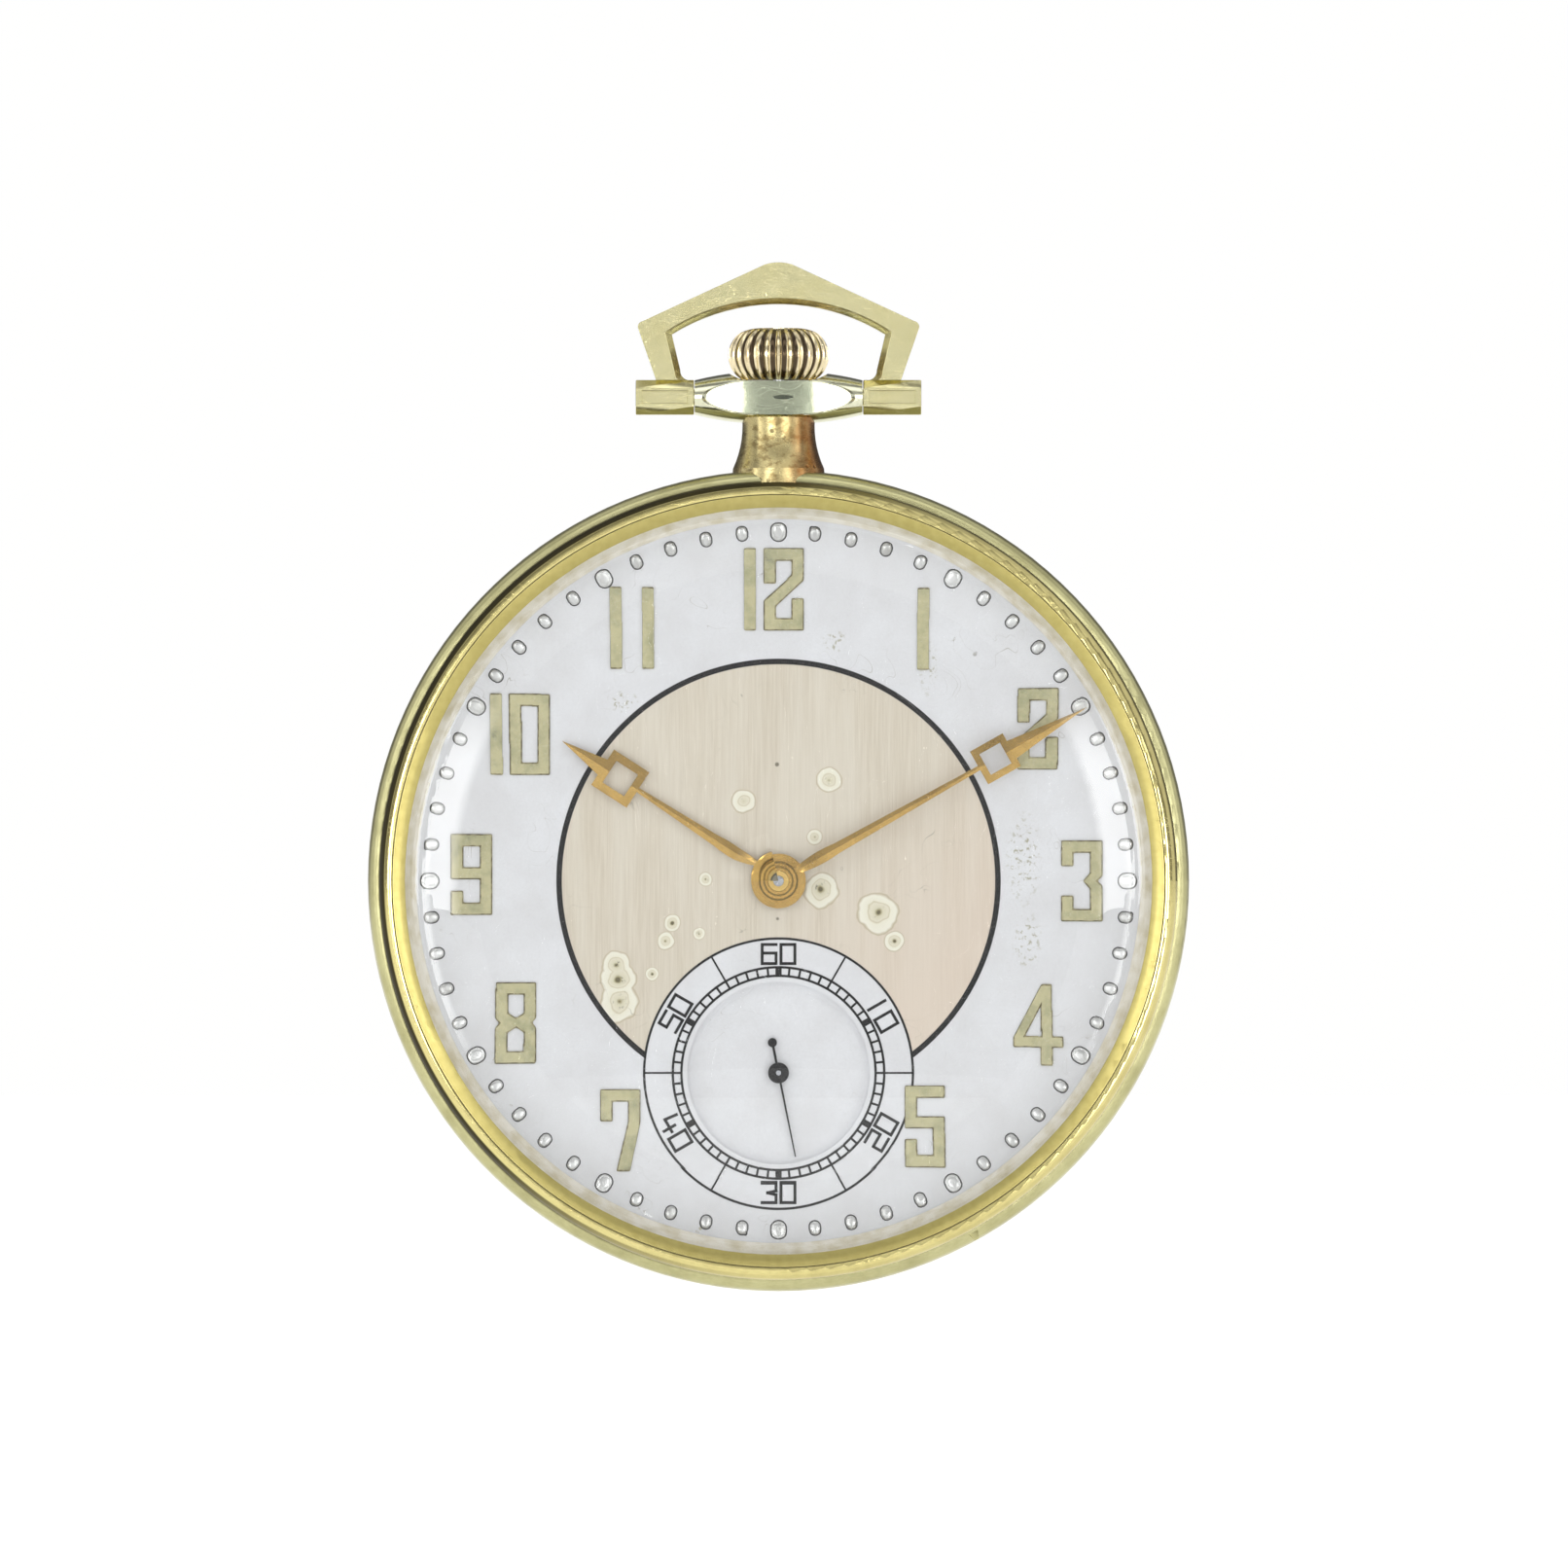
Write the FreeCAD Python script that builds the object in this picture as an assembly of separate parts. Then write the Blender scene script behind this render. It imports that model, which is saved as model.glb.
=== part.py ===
"""An open face pocket watch with a small seconds dial, built as an assembly of separate pieces.

The pieces are drawn lying dial up: X to three o'clock, Y to twelve o'clock, Z out of the dial,
with the case back on Z = 0 and the hands' axis on X = Y = 0. stand_up() then turns each piece so
that the watch hangs upright: +Z to twelve o'clock and -Y out of the dial. Lengths are millimetres.
"""

import FreeCAD
import Part
import math
import os

V = FreeCAD.Vector
TAU = 2 * math.pi

# ---- driving dimensions -------------------------------------------------------------------------
CASE_R = 22.5            # outer radius of the case
CRYSTAL_TOP = 8.05       # highest point of the crystal above the case back
BACK_RIM_Z = 1.7         # where the back cover meets the band
BAND_TOP_Z = 5.8         # where the bezel meets the band
BEZEL_INNER_R = 20.4     # edge of the gold around the crystal
BEZEL_R = 21.72          # the bezel's steep outer wall, inside the band's shoulder
DIAL_R = 20.15
DIAL_Z = (5.4, 5.75)     # underside and face of the dial
SECONDS_Y = -10.5        # the small seconds dial's centre
SECONDS_SINK_R = 5.0     # the sunk centre of the small seconds dial
STEM_Z = 3.4             # height of the winding stem's axis
BOW_Y = 26.5             # the bow's hinge axis
BOW_APEX_Y = 33.9
BOW_ARCH_Y = 31.62       # top of the bow's opening
FLUTES = 26              # grooves around the crown
RUN = 0.02               # radial clearance of a turning fit
PLATE_Z = (4.1, 5.4)     # main plate
PLATE_R = 19.05
BRIDGE_Z = (1.3, 2.2)    # train bridge
PIVOT_R = 0.12
HANDS_AT = {"hour": 302.9, "minute": 60.6, "seconds": 168.6}   # clockwise from twelve, in degrees

# ---- wheel train: teeth, module, and where each arbor stands ----------------------------------------
BARREL_TEETH, BARREL_MODULE = 78, 0.17
CENTRE_LEAVES = 12
CENTRE_TEETH, CENTRE_MODULE = 80, 0.17
THIRD_LEAVES, THIRD_TEETH, THIRD_MODULE = 10, 75, 0.14
FOURTH_LEAVES, FOURTH_TEETH, FOURTH_MODULE = 10, 70, 0.12
ESCAPE_LEAVES, ESCAPE_TEETH, ESCAPE_R = 7, 15, 2.4
CANNON_TEETH, MINUTE_TEETH, MINUTE_LEAVES, HOUR_TEETH = 12, 36, 10, 40
MOTION_SPACING = 3.6                                # cannon pinion to minute wheel
MOTION_MODULE = 2 * MOTION_SPACING / (CANNON_TEETH + MINUTE_TEETH)
HOUR_MODULE = 2 * MOTION_SPACING / (MINUTE_LEAVES + HOUR_TEETH)
SETTING_TEETH = 20
WIND_TEETH, CROWN_WHEEL_TEETH, RATCHET_TEETH = 13, 26, 49
CROWN_WHEEL_AT = (0.0, 12.35)


def polar(angle_deg, distance, about=(0.0, 0.0)):
    """The point at a distance and an angle counterclockwise from +X."""
    a = math.radians(angle_deg)
    return (about[0] + distance * math.cos(a), about[1] + distance * math.sin(a))


def crossing(a, ra, b, rb, side):
    """Where circles about a and b cross: to the left of the way from a to b for side 1, or right for -1."""
    dx, dy = b[0] - a[0], b[1] - a[1]
    d = math.hypot(dx, dy)
    along = (ra * ra - rb * rb + d * d) / (2 * d)
    off = side * math.sqrt(ra * ra - along * along)
    return (a[0] + (along * dx - off * dy) / d, a[1] + (along * dy + off * dx) / d)


def spacing(teeth, leaves, module):
    return module * (teeth + leaves) / 2


CENTRE = (0.0, 0.0)
FOURTH = (0.0, SECONDS_Y)
BARREL = polar(52, spacing(BARREL_TEETH, CENTRE_LEAVES, BARREL_MODULE))
THIRD = crossing(CENTRE, spacing(CENTRE_TEETH, THIRD_LEAVES, CENTRE_MODULE),
                 FOURTH, spacing(THIRD_TEETH, FOURTH_LEAVES, THIRD_MODULE), 1)
ESCAPE = polar(162.4, spacing(FOURTH_TEETH, ESCAPE_LEAVES, FOURTH_MODULE), FOURTH)
PALLET = polar(135, 2.75, ESCAPE)
BALANCE = polar(135, 6.9, ESCAPE)
BALANCE_R = 5.4
MINUTE_WHEEL = polar(70.5, MOTION_SPACING)
SETTING_WHEEL = (0.0, 10.1)
SETTING_SPACING = spacing(SETTING_TEETH, SETTING_TEETH, MOTION_MODULE)
INTERMEDIATE = crossing(MINUTE_WHEEL, spacing(MINUTE_TEETH, SETTING_TEETH, MOTION_MODULE),
                        SETTING_WHEEL, SETTING_SPACING, 1)
WINDING_MODULE = 2 * math.dist(CROWN_WHEEL_AT, BARREL) / (CROWN_WHEEL_TEETH + RATCHET_TEETH)


# ---- shapes that many pieces share --------------------------------------------------------------------
def disc(r, z0, z1, at=CENTRE):
    return Part.makeCylinder(r, z1 - z0, V(at[0], at[1], z0))


def tube(outer, inner, z0, z1, at=CENTRE):
    return disc(outer, z0, z1, at).cut(disc(inner, z0 - 1, z1 + 1, at))


def box(x0, x1, y0, y1, z0, z1):
    return Part.makeBox(x1 - x0, y1 - y0, z1 - z0, V(x0, y0, z0))


def y_disc(r, y0, y1, x=0.0, z=STEM_Z):
    return Part.makeCylinder(r, y1 - y0, V(x, y0, z), V(0, 1, 0))


def x_disc(r, x0, x1, y=BOW_Y, z=STEM_Z):
    return Part.makeCylinder(r, x1 - x0, V(x0, y, z), V(1, 0, 0))


def joined(shapes):
    first, *rest = shapes
    return first.fuse(rest).removeSplitter() if rest else first


def outline(start, *steps):
    """A closed wire in the XY plane. A step is the next corner, or (a point on an arc, the arc's end)."""
    edges, here = [], V(*start, 0)
    for step in (*steps, start):
        through, end = step if isinstance(step[0], tuple) else (None, step)
        end = V(*end, 0)
        if here.distanceToPoint(end) < 1e-9:
            continue
        if through:
            edges.append(Part.Arc(here, V(*through, 0), end).toShape())
        else:
            edges.append(Part.LineSegment(here, end).toShape())
        here = end
    return Part.Wire(edges)


def plate(wire, z0, z1):
    return Part.Face(wire).extrude(V(0, 0, z1 - z0)).translated(V(0, 0, z0))


def turned(start, *steps, at=CENTRE):
    """A solid of revolution about Z from an outline of (radius, height)."""
    face = Part.Face(outline(start, *steps))
    face.rotate(V(0, 0, 0), V(1, 0, 0), 90)
    return face.revolve(V(0, 0, 0), V(0, 0, 1), 360).translated(V(at[0], at[1], 0))


def turned_on_stem(start, *steps):
    """A solid of revolution about the stem's axis from an outline of (radius, Y)."""
    face = Part.Face(outline(start, *steps))
    return face.revolve(V(0, 0, 0), V(0, 1, 0), 360).translated(V(0, 0, STEM_Z))


def toothed(teeth, module, phase, sides, at=CENTRE):
    """A gear's outline. sides holds (radius in modules from the pitch circle, tooth width in pitches)."""
    pitch_r, points = teeth * module / 2, []
    for i in range(teeth):
        middle = phase + TAU * i / teeth
        up = [(pitch_r + out * module, -share * TAU / teeth / 2) for out, share in sides]
        down = [(r, -a) for r, a in reversed(up)]
        points += [(at[0] + r * math.cos(middle + a), at[1] + r * math.sin(middle + a)) for r, a in up + down]
    return outline(points[0], *points[1:])


WHEEL_SIDES = ((-1.35, 0.46), (0.0, 0.40), (0.55, 0.30), (0.95, 0.10))
PINION_SIDES = ((-1.35, 0.36), (0.0, 0.34), (0.5, 0.24), (0.8, 0.08))


def pinion(teeth, module, phase, z0, z1, at):
    return plate(toothed(teeth, module, phase, PINION_SIDES, at), z0, z1)


def wheel(teeth, module, phase, z0, z1, at, bore, arms=0, hub=1.0, rim=0.75):
    """A toothed wheel with a round bore, crossed out between its arms."""
    made = plate(toothed(teeth, module, phase, WHEEL_SIDES, at), z0, z1).cut(disc(bore, z0 - 1, z1 + 1, at))
    inner = teeth * module / 2 - rim
    half_arm = 0.3
    for i in range(arms):
        window = tube(inner, hub, z0 - 0.1, z1 + 0.1, CENTRE)
        wedge_end = 2 * inner
        angle = TAU / arms
        wedge = plate(outline((half_arm, half_arm / math.tan(angle / 2)), (wedge_end, half_arm),
                              (wedge_end * math.cos(angle / 2), wedge_end * math.sin(angle / 2)),
                              (wedge_end * math.cos(angle) + half_arm * math.sin(angle),
                               wedge_end * math.sin(angle) - half_arm * math.cos(angle))), z0 - 0.1, z1 + 0.1)
        window = window.common(wedge)
        window.rotate(V(0, 0, 0), V(0, 0, 1), math.degrees(phase) + 360 / arms * i)
        made = made.cut(window.translated(V(at[0], at[1], 0)))
    return made


def meshing(a, teeth_a, phase_a, b, teeth_b):
    """The phase of gear b that puts a gap of it on the tooth of gear a between their centres."""
    way = math.atan2(b[1] - a[1], b[0] - a[0])
    ahead = (phase_a - way) * teeth_a / TAU
    return way + math.pi - math.pi / teeth_b - ahead * TAU / teeth_b


def arbor(at, low, high, body_r, pivot=PIVOT_R):
    """A turned steel arbor between pivots 0.75 long below and 0.5 long above."""
    low_shoulder, high_shoulder = low + 0.75, high - 0.5
    return turned((0, low), (pivot, low), (pivot, low_shoulder), (body_r, low_shoulder + 0.02),
                  (body_r, high_shoulder - 0.02), (pivot, high_shoulder), (pivot, high), (0, high), at=at)


def slotted_screw(at, head_r, head_z, shank_r, shank_end):
    """A cheese head screw whose head faces the case back. head_z is (outer face, seat)."""
    head = disc(head_r, head_z[0], head_z[1], at)
    slot = box(at[0] - head_r, at[0] + head_r, at[1] - 0.09, at[1] + 0.09, head_z[0] - 0.1, head_z[0] + 0.13)
    return joined([head.cut(slot), disc(shank_r, head_z[1], shank_end, at)])


# ---- phases that keep the gears in mesh at rest -------------------------------------------------------
CENTRE_PHASE = 0.0
BARREL_PHASE = meshing(CENTRE, CENTRE_LEAVES, CENTRE_PHASE, BARREL, BARREL_TEETH)
THIRD_PHASE = meshing(CENTRE, CENTRE_TEETH, CENTRE_PHASE, THIRD, THIRD_LEAVES)
FOURTH_PHASE = meshing(THIRD, THIRD_TEETH, THIRD_PHASE, FOURTH, FOURTH_LEAVES)
ESCAPE_PHASE = meshing(FOURTH, FOURTH_TEETH, FOURTH_PHASE, ESCAPE, ESCAPE_LEAVES)
MINUTE_PHASE = meshing(CENTRE, CANNON_TEETH, 0.0, MINUTE_WHEEL, MINUTE_TEETH)
HOUR_PHASE = meshing(MINUTE_WHEEL, MINUTE_LEAVES, MINUTE_PHASE, CENTRE, HOUR_TEETH)
INTERMEDIATE_PHASE = meshing(MINUTE_WHEEL, MINUTE_TEETH, MINUTE_PHASE, INTERMEDIATE, SETTING_TEETH)
SETTING_PHASE = meshing(INTERMEDIATE, SETTING_TEETH, INTERMEDIATE_PHASE, SETTING_WHEEL, SETTING_TEETH)
CROWN_WHEEL_PHASE = math.pi / 2 + math.pi / CROWN_WHEEL_TEETH
RATCHET_PHASE = meshing(CROWN_WHEEL_AT, CROWN_WHEEL_TEETH, CROWN_WHEEL_PHASE, BARREL, RATCHET_TEETH)

# ---- fastener places ------------------------------------------------------------------------------------
FOOT_R = 17.5                                  # where the bridges stand on the main plate
BARREL_BRIDGE_FEET = (22, 75, 112, 160)        # degrees
TRAIN_BRIDGE_FEET = (-88, -25)
COCK_ANGLE = 204.5                             # from the centre through the balance
COCK_FOOT = polar(COCK_ANGLE, FOOT_R)
CASE_SCREWS = (polar(2, 18.72), polar(182, 18.72))
JEWEL_R = 0.55
HINGE_X, HINGE_Z, KNUCKLE_R, HINGE_PIN_R = -21.83, 1.6, 0.5, 0.2
KNUCKLE_GAP_Y, KNUCKLE_END_Y = 1.0, 2.8


# ---- case ---------------------------------------------------------------------------------------------
def case_band():
    """The middle of the case: a rounded ring with a shoulder for the movement and a lip for the back."""
    ring = turned((19.15, 1.65), (19.6, 1.2), (20.95, 1.2), (20.95, 1.8), (21.95, 1.8),
                  ((22.4, 2.6), (CASE_R, 3.5)), (CASE_R, 4.3), (22.42, 5.2), ((22.2, 5.65), (21.78, BAND_TOP_Z)),
                  (20.3, BAND_TOP_Z), (20.3, 4.95), (19.15, 4.95))
    nick = plate(outline((-0.28, 0.45), (0.28, 0.45), (0.0, -0.35)), 4.9, 6)
    nick.rotate(V(0, 0, 0), V(0, 0, 1), 29)
    nick.translate(V(*polar(-61, 22.42), 0))
    knuckle_pocket = Part.makeCylinder(KNUCKLE_R + 0.08, 2 * KNUCKLE_GAP_Y,
                                       V(HINGE_X, -KNUCKLE_GAP_Y, HINGE_Z), V(0, 1, 0))
    knuckle_seats = Part.makeCylinder(KNUCKLE_R, 2 * KNUCKLE_END_Y, V(HINGE_X, -KNUCKLE_END_Y, HINGE_Z), V(0, 1, 0))
    stem_hole = y_disc(0.9, 18, 24)
    screw_pockets = [disc(0.6, 1, 4.1, at) for at in CASE_SCREWS]
    return ring.cut([knuckle_pocket, knuckle_seats, stem_hole, nick, *screw_pockets])


def case_hinge_knuckles():
    knuckles = []
    for y0, y1 in ((-KNUCKLE_END_Y, -KNUCKLE_GAP_Y), (KNUCKLE_GAP_Y, KNUCKLE_END_Y)):
        solid = Part.makeCylinder(KNUCKLE_R, y1 - y0, V(HINGE_X, y0, HINGE_Z), V(0, 1, 0))
        bore = Part.makeCylinder(HINGE_PIN_R, y1 - y0, V(HINGE_X, y0, HINGE_Z), V(0, 1, 0))
        knuckles.append(solid.cut(bore))
    return Part.makeCompound(knuckles)


def back_hinge_pin():
    return Part.makeCylinder(HINGE_PIN_R, 2 * KNUCKLE_END_Y, V(HINGE_X, -KNUCKLE_END_Y, HINGE_Z), V(0, 1, 0))


def back_cover():
    """A shallow dish, flat where the watch lies on it, cut away beside the hinge knuckles."""
    dish = turned((0, 0), (16.8, 0), ((20.3, 0.42), (21.85, BACK_RIM_Z)), (21.1, BACK_RIM_Z),
                  (21.1, 1.1), ((19.5, 0.72), (16.8, 0.55)), (0, 0.55))
    beside_hinge = box(-CASE_R, -21.3, -KNUCKLE_END_Y - 0.2, KNUCKLE_END_Y + 0.2, -1, 3)
    lift_lip = Part.makeSphere(1.6, V(*polar(-56, 22.9), 1.7))
    return dish.cut([beside_hinge, lift_lip])


def back_hinge_knuckle():
    half = KNUCKLE_GAP_Y - 0.05
    knuckle = Part.makeCylinder(KNUCKLE_R, 2 * half, V(HINGE_X, -half, HINGE_Z), V(0, 1, 0))
    arm = box(-21.7, -21.3, -half, half, 1.15, 1.6)
    bore = Part.makeCylinder(HINGE_PIN_R + RUN, 2 * half, V(HINGE_X, -half, HINGE_Z), V(0, 1, 0))
    return joined([knuckle, arm]).cut(bore)


def bezel():
    """The snap-on ring around the crystal: a steep wall, a rounded crest, a fine line and a slope to the glass."""
    return turned((20.55, 5.86), (BEZEL_R - 0.06, 5.86), (BEZEL_R, 6.4), ((21.68, 7.2), (21.38, 7.5)),
                  ((21.25, 7.53), (21.12, 7.5)), (21.08, 7.44), ((20.8, 7.4), (BEZEL_INNER_R, 7.26)),
                  (BEZEL_INNER_R, 7.2), (20.55, 7.12))


def crystal():
    """A low domed glass with a steep bevel at its edge, sprung into the bezel."""
    return turned((0, 7.02), (19.2, 7.0), ((19.8, 6.92), (20.2, 6.62)), (20.52, 6.62), (20.52, 7.06),
                  (20.34, 7.17), ((19.67, 7.61), (18.9, 7.84)), ((17.7, 7.975), (16.5, CRYSTAL_TOP)), (0, CRYSTAL_TOP))


def rehaut_ring():
    """The pale reflector ring between the dial's edge and the crystal."""
    return turned((19.6, 5.86), (20.53, 5.86), (20.53, 6.6), (20.3, 6.6))


def pendant_neck():
    """A waisted tube soldered to the band, which the collar stands on."""
    neck = turned_on_stem((0.95, 21.6), (2.6, 21.6), (2.5, 22.6), ((2.08, 23.9), (2.0, 25.4)), (0.95, 25.4))
    bezel_room = disc(BEZEL_R + 0.06, BAND_TOP_Z, 9)
    cover_room = disc(21.95, -1, 1.78)
    return neck.cut([case_band(), bezel_room, cover_room])


def pendant_collar():
    """An olive across the neck with a flat eye-shaped facet on each side and a seat for the crown."""
    half, end_r, mid_r, facet = 4.6, 0.95, 1.45, 1.1
    profile = Part.Face(outline((-half, 0), (-half, end_r), ((-2.5, 1.34), (0, mid_r)), ((2.5, 1.34), (half, end_r)),
                                (half, 0)))
    olive = profile.revolve(V(0, 0, 0), V(1, 0, 0), 360).translated(V(0, BOW_Y, STEM_Z))
    slab = box(-half, half, BOW_Y - 2, BOW_Y + 2, STEM_Z - facet, STEM_Z + facet)
    crown_seat = turned_on_stem((0, 27.4), (2.0, 27.4), ((2.65, 27.75), (3.0, 28.4)), (3.0, 29.5), (0, 29.5))
    stem_hole = y_disc(0.95, 24, 29)
    trunnion_holes = x_disc(0.45, -half, half)
    return olive.common(slab).cut([crown_seat, stem_hole, trunnion_holes, y_disc(2.0, 24, 25.4)])


def bow_pivots():
    """Two screwed trunnions that the bow turns on, held in the collar's ends."""
    pins = []
    for side in (-1, 1):
        x0, x1 = sorted((side * 1.7, side * 7.55))
        head0, head1 = sorted((side * 7.55, side * 7.8))
        slot = box(-9, 9, BOW_Y - 0.1, BOW_Y + 0.1, STEM_Z - 1, STEM_Z + 1)
        head = x_disc(0.62, head0, head1)
        pins.append(joined([x_disc(0.45, x0, x1), head.cut(slot.common(
            box(*sorted((side * 7.68, side * 9)), 0, 40, 0, 9)))]))
    return Part.makeCompound(pins)


def sleeve_panels(x0, x1, flat):
    """Shallow sunk panels in a sleeve's front and back facets."""
    deep, high = 0.06, 0.35
    front = box(x0 + 0.35, x1 - 0.35, BOW_Y - high, BOW_Y + high, STEM_Z + flat - deep, STEM_Z + flat + 1)
    back = box(x0 + 0.35, x1 - 0.35, BOW_Y - high, BOW_Y + high, STEM_Z - flat - 1, STEM_Z - flat + deep)
    return [front, back]


def bow_barrels():
    """The two eight-sided sleeves that carry the bow's legs."""
    sleeves = []
    for side in (-1, 1):
        x0, x1 = sorted((side * 4.64, side * 7.83))
        flat, corner = 0.95, 0.5
        octagon = outline((-flat, -corner), (-corner, -flat), (corner, -flat), (flat, -corner),
                          (flat, corner), (corner, flat), (-corner, flat), (-flat, corner))
        bar = Part.Face(octagon).extrude(V(0, 0, x1 - x0))
        bar.rotate(V(0, 0, 0), V(0, 1, 0), 90)
        bar.translate(V(x0, BOW_Y, STEM_Z))
        head_room = x_disc(0.66, *sorted((side * 7.53, side * 8)))
        sleeves.append(bar.cut([x_disc(0.45 + RUN, x0, x1), head_room, *sleeve_panels(x0, x1, flat)]))
    return Part.makeCompound(sleeves)


def bow_frame():
    """The flat pentagonal bow with its bevelled arched opening, standing on the two sleeves."""
    shoulder_x, shoulder_y = 7.7, 30.5
    foot_y = BOW_Y + 0.95
    outer_foot, inner_foot, flare = 6.72, 5.35, 4.98
    leg_in_x, leg_in_y = 5.85, 29.95
    half = [(0.75, BOW_APEX_Y - 0.12), (shoulder_x - 0.25, shoulder_y + 0.17), (shoulder_x - 0.02, shoulder_y - 0.28)]
    wire = outline((outer_foot, foot_y), half[2], ((shoulder_x - 0.03, shoulder_y + 0.02), half[1]), half[0],
                   ((0, BOW_APEX_Y), (-half[0][0], half[0][1])), (-half[1][0], half[1][1]),
                   ((-shoulder_x + 0.03, shoulder_y + 0.02), (-half[2][0], half[2][1])), (-outer_foot, foot_y),
                   (-flare, foot_y), ((-inner_foot + 0.08, foot_y + 0.18), (-inner_foot - 0.04, foot_y + 0.55)),
                   (-leg_in_x, leg_in_y), ((0, BOW_ARCH_Y), (leg_in_x, leg_in_y)),
                   (inner_foot + 0.04, foot_y + 0.55), ((inner_foot - 0.08, foot_y + 0.18), (flare, foot_y)))
    blank = plate(wire, STEM_Z - 0.8, STEM_Z + 0.8)
    opening = []
    for edge in blank.Edges:
        middle = edge.CenterOfMass
        in_face = abs(abs(middle.z - STEM_Z) - 0.8) < 1e-6
        if in_face and abs(middle.x) < 6 and foot_y + 0.05 < middle.y < BOW_ARCH_Y + 0.1:
            opening.append(edge)
    return blank.makeChamfer(0.33, opening)


def crown():
    """A flattened onion crown with cut flutes, on a pipe that screws to the stem."""
    shell = turned_on_stem((0, 28.0), (0.52, 28.0), (0.52, 27.45), (1.95, 27.45), ((2.77, 28.8), (2.1, 30.05)),
                           ((1.6, 30.23), (1.0, 30.3)), (0, 30.3))
    flutes = []
    groove_r, path_r, path_at = 0.28, 1.72, (1.14, 28.8)
    for i in range(FLUTES):
        ring = Part.makeTorus(path_r, groove_r, V(path_at[0], path_at[1], 0), V(0, 0, 1))
        ring = ring.common(box(1.3, 4, 27, 30.4, -1, 1))
        ring.rotate(V(0, 0, 0), V(0, 1, 0), 360 / FLUTES * i)
        flutes.append(ring.translated(V(0, 0, STEM_Z)))
    return shell.cut(flutes)


# ---- keyless works --------------------------------------------------------------------------------------
STEM_END_Y, SQUARE_END_Y, STEM_GROOVE_Y = 11.3, 14.2, 16.5
CLUTCH_Y = (12.7, 14.2)
CLUTCH_GROOVE_Y = 13.45
PINION_Y = (14.35, 15.5)
SQUARE_HALF = 0.33
LEVER_PIVOT = (2.6, STEM_GROOVE_Y)
YOKE_PIVOT = (-3.0, CLUTCH_GROOVE_Y)
KEYLESS_Z = (4.75, 4.98)


def winding_stem():
    square = box(-SQUARE_HALF, SQUARE_HALF, STEM_END_Y + 0.4, SQUARE_END_Y, STEM_Z - SQUARE_HALF, STEM_Z + SQUARE_HALF)
    body = y_disc(0.5, SQUARE_END_Y, 28.0)
    pilot = y_disc(0.25, STEM_END_Y, STEM_END_Y + 0.4)
    groove = y_disc(1.0, STEM_GROOVE_Y - 0.22, STEM_GROOVE_Y + 0.22).cut(
        y_disc(0.3, STEM_GROOVE_Y - 1, STEM_GROOVE_Y + 1))
    return joined([square, body, pilot]).cut(groove)


def face_teeth(count, outer, inner, y0, y1, share, turn=0.0):
    """A ring of teeth around the stem, standing on a flat end."""
    width = share * TAU / count * (outer + inner) / 2
    teeth = []
    for i in range(count):
        tooth = box(inner, outer, y0, y1, -width / 2, width / 2)
        tooth.rotate(V(0, 0, 0), V(0, 1, 0), math.degrees(turn) + 360 / count * i)
        teeth.append(tooth.translated(V(0, 0, STEM_Z)))
    return teeth


def winding_pinion():
    """Spur teeth that drive the crown wheel, and face teeth that the clutch drives."""
    tip, root = 1.56, 1.15
    points = []
    for i in range(WIND_TEETH):
        middle = -math.pi / 2 + TAU * i / WIND_TEETH
        for r, half_share in ((root, -0.23), (tip, -0.12), (tip, 0.12), (root, 0.23)):
            a = middle + half_share * TAU / WIND_TEETH
            points.append((r * math.cos(a), r * math.sin(a)))
    body = Part.Face(outline(points[0], *points[1:])).extrude(V(0, 0, PINION_Y[1] - PINION_Y[0]))
    body.rotate(V(0, 0, 0), V(1, 0, 0), 90)
    body.translate(V(0, PINION_Y[1], STEM_Z))
    hub = y_disc(1.0, PINION_Y[0], PINION_Y[1])
    return joined([body, hub]).cut([y_disc(0.5 + RUN, PINION_Y[0] - 1, PINION_Y[1] + 1),
                                    *face_teeth(9, 1.2, 0.5, PINION_Y[0], PINION_Y[0] + 0.22, 0.62)])


def clutch_wheel():
    """The sliding pinion: square on the stem, with a groove for the yoke."""
    body = joined([y_disc(1.0, *CLUTCH_Y), y_disc(1.25, CLUTCH_Y[0], CLUTCH_Y[0] + 0.3)])
    groove = y_disc(1.5, CLUTCH_GROOVE_Y - 0.2, CLUTCH_GROOVE_Y + 0.2).cut(y_disc(0.7, 12, 15))
    half = SQUARE_HALF + RUN
    square = box(-half, half, CLUTCH_Y[0] - 1, CLUTCH_Y[1] + 1, STEM_Z - half, STEM_Z + half)
    upper = face_teeth(9, 0.95, 0.55, CLUTCH_Y[1], CLUTCH_Y[1] + 0.3, 0.42)
    lower_gaps = face_teeth(12, 1.4, 0.5, CLUTCH_Y[0] - 0.01, CLUTCH_Y[0] + 0.25, 0.5)
    return joined([body, *upper]).cut([groove, square, *lower_gaps])


def setting_lever():
    arm = plate(outline((-0.32, STEM_GROOVE_Y - 0.3), (LEVER_PIVOT[0], STEM_GROOVE_Y - 0.6),
                        ((LEVER_PIVOT[0] + 0.6, STEM_GROOVE_Y), (LEVER_PIVOT[0], STEM_GROOVE_Y + 0.6)),
                        (-0.32, STEM_GROOVE_Y + 0.3)), *KEYLESS_Z)
    pin = disc(0.13, STEM_Z + 0.35, KEYLESS_Z[0], (0, STEM_GROOVE_Y))
    return joined([arm, pin]).cut(disc(0.3 + RUN, 4, 6, LEVER_PIVOT))


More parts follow.
